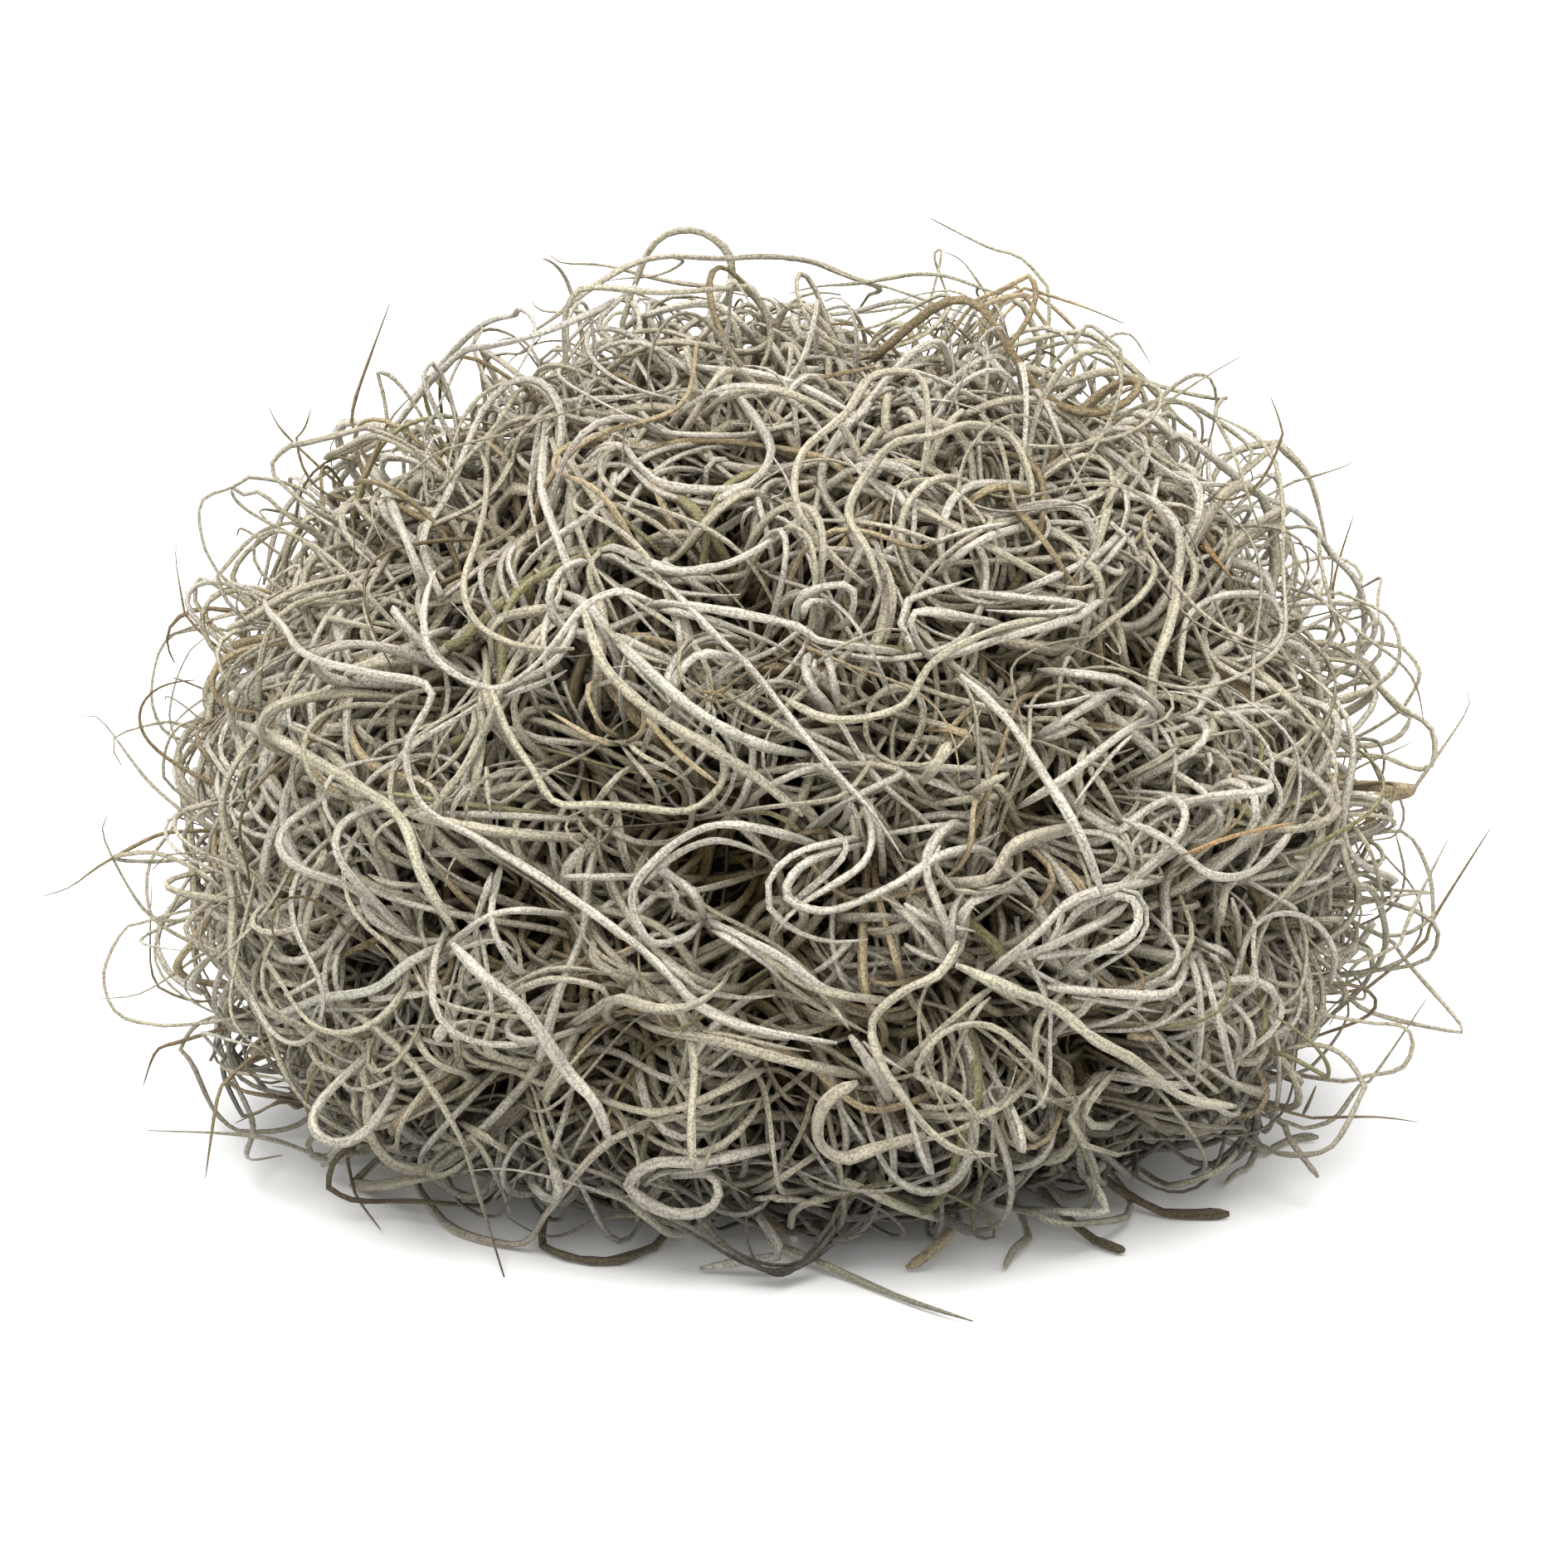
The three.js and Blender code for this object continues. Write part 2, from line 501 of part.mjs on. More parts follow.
// Strands that run in the mass and along its outline: how the two ends finish (r rooted, b cut blunt,
// t pointed tip), the width, and the route.
const wovenRoutes = [
  ['rr', 1.3, [-42.2, 40.8], [-38.8, 36.5], [-34.4, 25.6]],
  ['rr', 1.1, [-20.4, 38.8], [-18.1, 40.8], [-15.8, 40.8], [-14.1, 38.8], [-11.4, 37.1], [-4.8, 37],
    [0.6, 39.8]],
  ['rr', 1.1, [-18.7, 27.5], [-18.4, 30.5], [-16.7, 31.2], [-12.4, 29.3], [-9.4, 28.9], [-3.8, 30.5],
    [4.5, 36.2]],
  ['rr', 1.2, [-22.7, 48.1], [-23.7, 38.2], [-23, 34.2], [-19.7, 25.5]],
  ['rr', 1.0, [-22, 44.1], [-21.7, 40.8], [-17, 33.5], [-13.8, 30.8]],
  ['rr', 1.1, [24, 33.5], [18.4, 31.8], [13.8, 28.2]],
  ['rr', 1.1, [14.8, 20.6], [13.2, 21], [11.8, 24], [13.2, 25], [20.8, 23.8]],
  ['rr', 1.2, [-10.8, 14], [-10.6, 16], [-11, 18], [-8.4, 20.9], [-2.8, 20]],
  ['rr', 1.3, [2.8, 21.2], [1.8, 20.4], [4.4, 15]],
  ['rr', 1.0, [8, 47.2], [12.8, 50.4], [15.2, 50.4], [16.6, 48]],
  ['rr', 1.0, [16.8, 48], [18.8, 49.6], [27.6, 52], [32, 49.6], [36.4, 45.2]],
  ['rr', 1.1, [36.4, 40.4], [38, 42], [43.2, 38]],
  ['rr', 1.0, [33.2, 40], [28.4, 34.8], [27.2, 32.8]],
  ['rr', 1.0, [34, 35.2], [29.6, 30.4], [20, 26]],
  ['rr', 0.9, [34, 35.2], [32.6, 29.6], [31.6, 27.2]],
  ['rr', 1.1, [40, 22], [44, 20], [50.4, 14.8], [55.2, 10.8]],
  ['rr', 1.0, [-16.7, 51.4], [-14.1, 53.4], [-7.4, 54.7], [-3.4, 51.4], [-3.4, 49.4]],
  ['rr', 1.0, [-29.6, 50.4], [-27.2, 48.8], [-23.2, 45.6]],
  ['rb', 1.3, [-11.4, 48.4], [-6.8, 47.8], [-2.2, 42.1], [-3.1, 37.8], [-6.8, 35.8]],
  ['rr', 0.9, [-49, 25.4], [-41.2, 23.7], [-36.1, 22.2]],
  ['rr', 1.0, [-43.5, 20.1], [-40.7, 20.3], [-32, 23.4]],
  ['rr', 1.0, [-43, 0.6], [-39.2, -1.8], [-34.3, -3]],
  ['rb', 1.1, [-44.1, 2.9], [-44.1, 0.6], [-46.1, -3.5], [-46.6, -6.9]],
  ['rr', 1.1, [-43.5, 15.9], [-39.4, 11.8], [-37.7, 11.8]],
  ['rr', 1.0, [-50.2, 14.6], [-46.1, 16.9], [-44.3, 16.7]],
  ['br', 1.3, [-49.7, -14.1], [-45, -12.3], [-39.9, -11.4], [-36.3, -8.7], [-32, -6.6]],
  ['rr', 1.0, [-51.8, -10.7], [-51.5, -13], [-49.4, -16.2], [-47.7, -16.6]],
  ['rr', 1.1, [-44.8, -28.2], [-41.8, -25.4], [-36.1, -23], [-33.6, -21.6]],
  ['rr', 1.0, [-28.8, 17], [-22.8, 20], [-20, 24.8]],
  ['rr', 1.1, [-29.8, 16.8], [-29.6, 13.6], [-34, 6], [-34.8, 1.6]],
  ['rr', 1.0, [-33.6, -8], [-28, -4], [-20.8, -4.2]],
  ['rr', 1.0, [-27.6, 0.8], [-28.6, -4.8], [-26.4, -9.2], [-24, -10.4]],
  ['rr', 1.2, [-8, -4.4], [-10, -6.4], [-13.6, -6.6], [-14.7, -1.2], [-7.2, 4.4], [3.5, 2.4]],
  ['rr', 1.1, [7.6, 2.8], [1.6, 0.8], [-0.2, -2.4], [4, -3.8], [10.4, -1.2], [14.8, 1.6], [18.4, 2.2],
    [20, 1.6]],
  ['rr', 1.2, [-8.1, -4.6], [-0.8, -8.2], [3.2, -11.2], [7.1, -12.2]],
  ['rr', 1.3, [16.8, 5], [15.1, 4.1], [13.6, 2], [13.4, -0.6], [15.4, -5.8], [15.8, -8.9]],
  ['rr', 1.3, [9.8, -2.9], [12.5, -5.2], [15.8, -9.2]],
  ['rr', 1.3, [16.1, -8], [17.2, -3.6], [20.7, -1.6], [22.7, -2.2]],
  ['rr', 1.0, [32, 26.4], [27.6, 24.4], [14.4, 20.2]],
  ['rr', 1.2, [32, 17.6], [29.6, 16.4], [23.6, 12.6]],
  ['rr', 1.1, [36, 14.4], [33.6, 14.2], [26.4, 8.8], [22, 6]],
  ['rr', 1.4, [14.4, -1], [19.2, -0.8], [22, 2.8], [28, 4.4]],
  ['rr', 1.1, [20, -8.4], [23.2, -8], [32.8, -3]],
  ['rr', 1.2, [27.2, -2.8], [33.6, -3.2], [33.2, -6], [28, -8.8], [26, -10.4]],
  ['rr', 1.2, [36, -0.8], [28, -2.6], [23.6, -6.4], [18.6, -10.5]],
  ['rb', 1.3, [12.8, 8.4], [14.4, 10.4], [15.6, 12.4]],
  ['rr', 1.1, [-18.5, -21.8], [-11.8, -23.2], [-2.1, -19]],
  ['rr', 1.0, [-28.7, -14.3], [-28.5, -13], [-23.4, -10.5], [-17.4, -12.3], [-21.5, -15.1]],
  ['rr', 1.1, [-19, -30.7], [-17, -30.7], [-11.5, -34.9], [-9.2, -34.3]],
  ['rr', 1.3, [-14.4, -7.4], [-9.2, -12.6], [0, -16.2]],
  ['rr', 1.2, [-14.9, -14.1], [-12.3, -15.4], [-5.9, -16.6], [0, -18.3], [7.5, -19.8]],
  ['rr', 1.1, [-15.4, -8.5], [-14.7, -10.7], [-14.4, -13.4]],
  ['rr', 1.1, [-4, -7.2], [2.6, -11.3], [10.3, -12.6]],
  ['br', 1.3, [6, -15.9], [8.6, -19.8], [10.1, -22.8]],
  ['rr', 1.0, [20.1, -11], [17.8, -12.6], [9.6, -19.8]],
  ['rr', 1.0, [11.9, -22.8], [13.9, -23.6], [19, -23.4], [23, -20.7], [23.6, -19.2]],
  ['rr', 1.0, [-4, -31], [-1.4, -30], [3.4, -26.9]],
  ['rr', 1.0, [32.6, -31], [31.9, -33.6], [26.2, -34], [20.3, -32.3]],
  ['rr', 1.2, [3.2, -29.4], [11.4, -32.6], [16.5, -34.1]],
  ['br', 1.3, [25, -11.2], [35.3, -12], [37.6, -10.9], [39, -6.9]],
  ['rr', 1.0, [39, -6.6], [41.2, -13.2], [43.2, -21.1], [44.2, -23.1]],
  ['rr', 1.0, [31.6, -19], [28.8, -22.8], [29, -24.3], [30.6, -24.7], [31.9, -23.8]],
  ['rr', 1.0, [42.2, -1], [41.8, -4.3], [40.7, -5.9]],
  ['rr', 1.0, [44.1, -25.4], [41.8, -28.7], [37.1, -30.3], [35.4, -29.8]],
  ['rr', 1.6, [-41.8, -30.2], [-39, -30.2], [-31, -28.7]],
  ['rr', 1.0, [-35.9, -28.7], [-35.4, -31], [-31.8, -34.9], [-25.6, -35.9], [-23, -32.6], [-17.9, -26.6],
    [-11.8, -23.6]],
  ['rr', 1.4, [0, -26.2], [-8, -28], [-12.8, -28.2], [-15.4, -30.4], [-12, -32.8], [-8.4, -32.9],
    [-6.8, -31.6], [-7, -29.9], [-8.4, -29.1], [-13.6, -29.6]],
  ['rb', 1.3, [-3.8, -32], [-0.9, -36.2], [-1.5, -37.4], [-3.4, -37.5], [-8.5, -38.3]],
  ['rr', 1.1, [-23.6, -36.2], [-21.5, -37.4], [-17.4, -37.7], [-12.8, -36.2]],
  ['rb', 1.3, [16.5, -33.8], [13.4, -36.9], [11.4, -38.2]],
  ['rb', 1.1, [23.2, -35.4], [21.7, -36.6], [20.9, -38.2]],
  ['rr', 1.1, [29, -26.9], [28.6, -28.7], [30.6, -32.3], [29.4, -33], [21.7, -32.6]],
  ['rb', 1.0, [45.4, -26.5], [44.3, -28.7], [42.2, -32.6]],
  ['rb', 1.0, [46.1, -27.8], [47.9, -28.5], [51, -30.3]],
  ['rb', 2.1, [36.1, -32.9], [38.2, -33.4], [42.5, -34.4]],
];

// Thin curls and pointed tips that stand off the outline.
const tipRoutes = [
  ['tr', 0.5, [-38.4, 54.8], [-41.6, 46], [-42.1, 43.2]],
  ['rr', 0.7, [-40.8, 42.8], [-46, 41.4], [-48.4, 40.8], [-49.8, 38.6], [-46.8, 35.6], [-42.6, 33]],
  ['rr', 0.5, [-52, 38], [-53.6, 37], [-56.6, 35.6], [-56.4, 31.6], [-55, 28.8]],
  ['rr', 0.6, [-55, 28.4], [-51.6, 32.2], [-48, 33.6], [-45.6, 32.4]],
  ['tr', 0.4, [-59, 31.6], [-59, 29.6], [-58.2, 24.8]],
  ['rr', 1.0, [-6.4, 54.4], [-5.6, 56], [-5.8, 59.6], [-9.2, 61.8], [-13.2, 60.2], [-16, 52.8]],
  ['tr', 0.7, [-23, 59.4], [-21.6, 58.6], [-17.6, 58.4], [-11.2, 56.8], [-4, 56]],
  ['rr', 0.8, [-21.4, 54], [-19.6, 56.2], [-12, 55.8], [-4, 56.4]],
  ['tr', 0.6, [13.6, 63], [19.2, 60.2], [22.4, 59.2], [25, 56.4]],
  ['tr', 0.5, [9.8, 53.8], [11.2, 55.2], [15.6, 56], [17.6, 55], [18.4, 53.2], [21, 51]],
  ['rt', 0.6, [22.8, 56.2], [28, 54.6], [32.4, 52.8]],
  ['rr', 0.9, [19.4, 51], [20.4, 54.6], [22.4, 54.8], [24.2, 51]],
  ['tr', 0.5, [43.6, 49.6], [40.8, 48], [36.4, 45.2]],
  ['rr', 0.7, [36.4, 45.2], [39.2, 44.8], [44.6, 40.8], [43.6, 38.4]],
  ['rr', 0.7, [36.4, 45.2], [37.6, 43.6], [39.2, 42.4]],
  ['tr', 0.4, [46.4, 46], [47.2, 44], [47.7, 42.2]],
  ['rt', 1.0, [47.2, 41.2], [50.4, 37.6], [52.2, 30]],
  ['tr', 0.5, [54.6, 34.6], [52.5, 27.2], [53.6, 22.4]],
  ['rr', 0.6, [53.2, 26.8], [58, 24.4], [58.8, 20], [55.2, 17], [53, 16.2]],
  ['rr', 0.6, [59.2, 21.6], [60.6, 20], [60.8, 18.4], [59.2, 15.6]],
  ['rt', 0.7, [-50.8, 25.2], [-54.4, 24.6], [-60, 22.6]],
  ['rr', 0.5, [-59.2, 22.9], [-60.7, 21.1], [-61.4, 16.5], [-59.7, 13.1], [-55.6, 12.4]],
  ['tr', 0.6, [-67.9, 15], [-66.1, 14.4], [-61.8, 8.8], [-57.7, 5.2]],
  ['tr', 0.6, [-65.7, 5.3], [-65.9, 2.9], [-61.8, -4.1], [-57.7, -4.7]],
  ['tr', 0.6, [-71.8, -2.4], [-69.2, -1.5], [-66.1, 0.7], [-61, 3.4], [-58.6, 3.8]],
  ['rr', 0.6, [-65, 1.4], [-60.7, 1.7], [-55.4, -1], [-52.5, -4.6]],
  ['rr', 0.5, [-62.4, -5], [-64.1, -5.7], [-66, -9.9], [-64.6, -13.8], [-60.2, -14.9]],
  ['tr', 0.5, [-66.5, -12.3], [-62.2, -11.7], [-56.9, -8.2]],
  ['rr', 0.7, [-58.6, -17.2], [-55.4, -23], [-53, -25.3]],
  ['tr', 0.6, [-61.8, -25], [-51, -25.6], [-44.8, -27.7]],
  ['rt', 0.5, [-54.6, -20.7], [-55.2, -22.8], [-56.2, -29.6]],
  ['rt', 0.6, [-42.5, -27.7], [-41.5, -31.8], [-39.3, -35]],
  ['rt', 1.0, [-46.1, -11], [-41.2, -14.1], [-36.1, -18.7], [-31.8, -25.4], [-30, -30.7], [-27.4, -39.1]],
  ['tr', 0.6, [65.4, 17.6], [65.4, 15.4], [60.5, 8.2]],
  ['rr', 0.8, [55, 20], [58.6, 16.2], [62, 13.8], [62.2, 10.5], [60.7, 9.8], [57.6, 11]],
  ['tr', 0.6, [63.8, 3.4], [60.2, -3.8], [59, -7]],
  ['tr', 0.6, [67.7, 4.1], [62.2, -4.6], [61.5, -6.6], [55.8, -11.3]],
  ['rr', 0.6, [58.4, -6.9], [59.9, -9], [64.7, -14.6], [64.4, -15.5], [56.1, -13.6], [53.3, -11.3]],
  ['tr', 0.6, [61.5, -12.4], [56.3, -20], [55, -20.8], [52.8, -23.8], [49.9, -24.8], [48.6, -24.4]],
  ['rr', 0.6, [56.6, -14.7], [59.2, -14.9], [60.3, -16.4], [59.2, -19], [55.6, -19.8], [53.8, -20.3],
    [49.9, -19.8]],
  ['rr', 0.9, [46.3, 2.3], [49.9, -0.2], [51.8, -0.2]],
  ['rr', 0.9, [52.2, 7.7], [54.3, -0.5], [56.6, -2.1], [57.7, -6.4], [56.6, -9.5]],
  ['tr', 0.5, [60.7, -24.2], [56.6, -23.7], [50.5, -23.8]],
  ['rr', 0.8, [55.6, -20.8], [52.5, -26.5], [48.4, -27.4], [46.1, -26.7]],
  ['rt', 1.1, [-1.6, -35.8], [6.8, -39.4], [11.9, -41.5], [17.8, -43.4]],
];

// Loose stems that lie over the front, from the lowest layer to the topmost.
const looseRoutes = [
  { name: 'shoulder', width: 1.1, ends: 'bb', route: [
    [-36, 45.6], [-30, 51], [-28.8, 50.6], [-20.8, 53], [-16.8, 55]] },
  { name: 'left_furrowed', width: 1.8, ends: 'bb', route: [
    [-53, 14.4], [-49.9, 12.9], [-42.5, 8.8], [-39.9, 7.5], [-36.3, 3.4], [-35.8, 0.8], [-32, -5.8]] },
  { name: 'left_loop', width: 1.1, ends: 'bb', route: [
    [-29.8, 40.8], [-28.9, 36.5], [-29.5, 33.1], [-31.2, 29.8], [-30.6, 24.6], [-25.6, 21.7],
    [-20.8, 21.4]] },
  { name: 'left_wave', width: 1.0, ends: 'bb', route: [
    [-34, 28.8], [-34.9, 25.6], [-34.6, 21.2], [-32.9, 19.2], [-29, 17.8], [-26.4, 18.4],
    [-22.4, 22.4], [-20.8, 24.8], [-15.2, 27.2], [-13.2, 26]] },
  { name: 'left_long', width: 1.2, ends: 'bb', route: [
    [-50.7, 26.2], [-47.9, 22.1], [-43.5, 19.5], [-36.3, 19.1], [-34.8, 18], [-34.6, 14.4],
    [-37.1, 11.6], [-37.1, 7.5], [-32, 4.3], [-24, -0.2], [-21.4, -2.6], [-14.7, -6.9], [-8.1, -13.5],
    [0.2, -16.2], [4.5, -16.5]] },
  { name: 'right_stem', width: 1.8, ends: 'bb', route: [[38, 32], [38, 28.8], [34.8, 17.6], [35.2, 15.2]] },
  { name: 'right_oval', width: 1.1, ends: 'bb', route: [
    [37.5, 19], [38.4, 24], [40.8, 26.2], [46.4, 26.2], [47.2, 22], [43.4, 20.2]] },
  { name: 'right_ring', width: 1.0, ends: 'bb', route: [
    [43.6, -10], [44.8, -5.6], [48.6, -4.2], [52.2, -6.6], [52.5, -10.8]] },
  { name: 'right_fork', width: 1.4, ends: 'bb', route: [
    [32, 4.9], [35.6, 3.6], [42.2, -1], [46.3, 1], [48.4, 4.1]] },
  { name: 'top_wave', width: 1.2, ends: 'bb', route: [
    [-14.7, 56.4], [-18.4, 52.7], [-17.4, 50.7], [-11.4, 48.7], [-6.8, 48.7], [3.8, 45.8], [6.2, 44.4]] },
  { name: 'upper_bend', width: 1.3, ends: 'bb', route: [
    [12.6, 38.2], [13.4, 42.4], [14.2, 46.4], [10.4, 48.6], [8.4, 48], [5.2, 44], [1, 39.6],
    [0.6, 36.8], [2.8, 32], [7.6, 27.6]] },
  { name: 'upper_arch', width: 1.3, ends: 'bb', route: [
    [23.6, 34.8], [22.7, 40.8], [18.4, 43], [11.8, 41.1], [9.1, 40.8], [6.2, 35.4], [6.5, 32.8],
    [7.8, 30.8], [8.8, 27.2]] },
  { name: 'low_crook', width: 1.8, ends: 'bb', route: [
    [6.5, -20.2], [3.2, -22.3], [3, -26.2], [5.8, -27.7], [7.8, -26.9], [13.4, -25.6]] },
  { name: 'low_arch', width: 1.1, ends: 'bb', route: [
    [27, -21.8], [22.2, -16.4], [18.3, -14.7], [14.2, -16.4], [12.6, -19.8], [16, -21.3],
    [18.3, -23.8], [18.4, -26.4]] },
  { name: 'low_left', width: 1.8, ends: 'bb', route: [
    [-32.1, -7.2], [-29.8, -10], [-27.9, -10.7], [-23, -16.6], [-20.2, -20.7], [-17.2, -24.1],
    [-17, -26.2]] },
  { name: 'low_right', width: 1.7, ends: 'bb', route: [
    [16, -9.2], [20.1, -11], [25.2, -12.8], [31.9, -18.2], [34.2, -18.7], [36.9, -21.1],
    [39.9, -22.5], [43.2, -22.8]] },
  { name: 'low_crossing', width: 1.3, ends: 'bb', route: [
    [16.2, -6.9], [16, -8.7], [12.4, -11.3], [10.3, -12], [7.7, -15.9], [12.4, -23.8],
    [16.5, -27.2], [20.3, -27.4]] },
  { name: 'middle_right', width: 1.4, ends: 'bb', route: [
    [16.5, 18.8], [21.8, 14.2], [24.4, 10.4], [26.8, 5.2], [30, 0.8], [30.6, -2.6]] },
  { name: 'middle_swag', width: 1.2, ends: 'bb', route: [
    [25.2, 24.4], [21.2, 23.8], [19.2, 22.8], [14, 20.4], [12.4, 16.8], [4.8, 14.6], [-0.8, 16.8]] },
  { name: 'middle_broad', width: 1.6, ends: 'bb', route: [
    [-20, 25.2], [-19, 22], [-15.6, 17.2], [-8, 12.4], [-3.2, 9.2], [1.6, 5.2]] },
  { name: 'middle_leaf', width: 1.1, ends: 'bt', route: [
    [-12, 28], [-7.2, 22.8], [-4.8, 20.8], [-0.8, 16], [4, 10.4], [6.4, 8.4], [11.4, 1]] },
  { name: 'middle_hook', width: 1.3, ends: 'bb', route: [
    [-28.8, 17.6], [-27.6, 14.4], [-24.8, 10.4], [-22.8, 6.8], [-16.8, 6.2], [-8.4, 6.2],
    [-6, 10], [-7.6, 13.2], [-11.2, 12.6]] },
];

// Dried bits of leaf caught on the outside.
const dryRoutes = [
  { name: 'top', width: 1.0, ends: 'bb', route: [[18.4, 54.4], [20.4, 55.2], [23.2, 55.6]] },
  { name: 'middle', width: 1.1, ends: 'bb', route: [[-14, 15], [-12, 13.2], [-8.8, 9.2], [-6.8, 8.4]] },
  { name: 'right', width: 1.0, ends: 'bt', route: [[37.9, 1.5], [40.5, 2.1], [43, 3.4], [49.7, 4.8]] },
];

// ---- strands placed by rule --------------------------------------------------------------------

const seed = 2718;
const ruleStrands = 58;        // woven strands and free tips spread evenly over the mass
const ruleStems = 84;          // loose leafy stems spread over the top, sides and back
const frontShare = 0.42;       // a direction that faces the eye by more than this is left to the routes
const tipEvery = 3;            // every third strand placed by rule is a short one that ends free
const leavesPerStem = 2;
const swayLength = 9;          // a strand sways to and fro once in about six times this length
const goldenAngle = Math.PI * (3 - Math.sqrt(5));

// Least and most of what the rules draw: lengths in millimetres, curl and sway in radians a millimetre.
const wovenRule = {
  length: [90, 140],
  width: [1.0, 1.5],
  curl: [0, 0.03],
  sway: [0.04, 0.12],
  depth: [deepLift, 0],
  rise: [1.5, 1.5],
};
const tipRule = {
  length: [24, 40],
  width: [0.8, 0.8],
  curl: [0.03, 0.12],
  sway: [0.04, 0.12],
  depth: [0, 0],
  rise: [4, 11],
};
const stemRule = { length: [46, 68], width: [1.1, 1.5], curl: [0.015, 0.065], sway: [0, 0.07] };
const leafRule = { length: [15, 24], turnAway: [0.7, 1.2], curl: [0.02, 0.11], rise: [1, 6] };

// A small seeded generator of numbers from 0 to 1.
function randomFrom(start) {
  let state = start;
  return () => {
    state = (state + 0x6d2b79f5) | 0;
    let mixed = Math.imul(state ^ (state >>> 15), 1 | state);
    mixed = (mixed + Math.imul(mixed ^ (mixed >>> 7), 61 | mixed)) ^ mixed;
    return ((mixed ^ (mixed >>> 14)) >>> 0) / 4294967296;
  };
}

// The nth of many directions spread evenly over the part of a ball above the floor.
function spreadDirection(index, count) {
  const z = 1 - ((index + 0.5) / count) * (1 - lowestDirection);
  const ring = Math.sqrt(1 - z * z);
  const angle = index * goldenAngle;
  return new THREE.Vector3(ring * Math.cos(angle), ring * Math.sin(angle), z);
}

const between = ([least, most], random) => least + (most - least) * random();

const facesEye = (direction) => -direction.dot(forward) > frontShare;

function randomHeading(direction, random) {
  const angle = 2 * Math.PI * random();
  const east = new THREE.Vector3(0.1, 0.2, 1).cross(direction).normalize();
  const north = direction.clone().cross(east);
  return east.multiplyScalar(Math.cos(angle)).addScaledVector(north, Math.sin(angle));
}

// A strand placed by rule: it leaves the core, curls over the mass, and dives back or ends free.
function ruleStrand(direction, free, random) {
  const rule = free ? tipRule : wovenRule;
  const length = between(rule.length, random);
  const curl = (random() < 0.5 ? -1 : 1) * between(rule.curl, random);
  const sway = between(rule.sway, random);
  const phase = 2 * Math.PI * random();
  const size = cornerReach * between(rule.width, random) / 2;
  const depth = between(rule.depth, random);
  const height = between(rule.rise, random);
  const heading = randomHeading(direction, random);
  const bend = (share) => curl + sway * Math.sin(phase + share * length / swayLength);
  const spots = wander(direction, heading, length, bend, Math.abs(curl) + sway / 2);
  const last = spots.length - 1;
  const knots = spots.map((spot, i) => {
    const share = i / last;
    const rise = height * (free ? share ** 2 : Math.sin(phase + share * length / swayLength / 2));
    return {
      radius: size,
      place: (lift) => onMound(spot.direction, lift, size),
      lift: depth + rise,
      free: depth + rise,
    };
  });
  const shoot = newShoot(strandSides);
  addLimb(shoot, knots, free ? 'rt' : 'rr');
  return shoot;
}

// A loose leafy stem placed by rule: leaves leave it on both sides in turn and curl away.
function ruleStem(direction, random) {
  const size = cornerReach * between(stemRule.width, random) / 2;
  const leafSize = cornerReach * thinnest / 2;
  const curl = (random() < 0.5 ? -1 : 1) * between(stemRule.curl, random);
  const sway = between(stemRule.sway, random);
  const phase = 2 * Math.PI * random();
  const length = between(stemRule.length, random);
  const heading = randomHeading(direction, random);
  const bend = (share) => curl + sway * Math.sin(phase + share * length / swayLength);
  const spots = wander(direction, heading, length, bend, Math.abs(curl) + sway / 2);
  const shoot = newShoot(strandSides);
  const knotAt = (spot, radius, free) => ({
    radius,
    place: (lift) => onMound(spot.direction, lift, radius),
    lift: 0,
    free,
  });
  const stem = addLimb(shoot, spots.map((spot) => knotAt(spot, size, 0)), 'bt');
  for (let leaf = 0; leaf < leavesPerStem; leaf += 1) {
    const node = Math.round(((leaf + 0.6) / (leavesPerStem + 0.4)) * (spots.length - 2));
    const side = leaf % 2 === 0 ? 1 : -1;
    const spot = spots[node];
    const across = new THREE.Vector3().crossVectors(spot.direction, spot.heading);
    const away = spot.heading.clone().addScaledVector(across, side * between(leafRule.turnAway, random));
    const leafLength = between(leafRule.length, random);
    const leafCurl = side * between(leafRule.curl, random);
    const rise = between(leafRule.rise, random);
    const path = wander(spot.direction, away, leafLength, () => leafCurl, Math.abs(leafCurl)).slice(1);
    const knots = path.map((step, i) => knotAt(step, leafSize, rise * ((i + 1) / path.length) ** 2));
    addLimb(shoot, knots, 'bt', stem[node]);
  }
  return shoot;
}

// ---- building the bunch ------------------------------------------------------------------------

const dullGrey = { color: 0xa39e8c, roughness: 0.92, metalness: 0 };
const paleGrey = { color: 0xc2bcab, roughness: 0.9, metalness: 0 };
const greenGrey = { color: 0x9a9a80, roughness: 0.92, metalness: 0 };
const dryTan = { color: 0xb98f58, roughness: 0.85, metalness: 0 };
const looseFinishes = [paleGrey, dullGrey, greenGrey];

const random = randomFrom(seed);
const bunch = new THREE.Group();

function addPiece(name, solid, finish) {
  const mesh = new THREE.Mesh(toGeometry(solid), new THREE.MeshStandardMaterial(finish));
  mesh.name = name;
  bunch.add(mesh);
}

const asRoute = ([ends, width, ...route]) => ({ ends, width, route });

const wovenShoots = [];
const taken = [];

function weave(shoot, optional) {
  const clear = layOver(shoot, taken);
  if (optional && !clear) return;
  wovenShoots.push(shoot);
  taken.push(...stretchesOf(shoot, false));
}

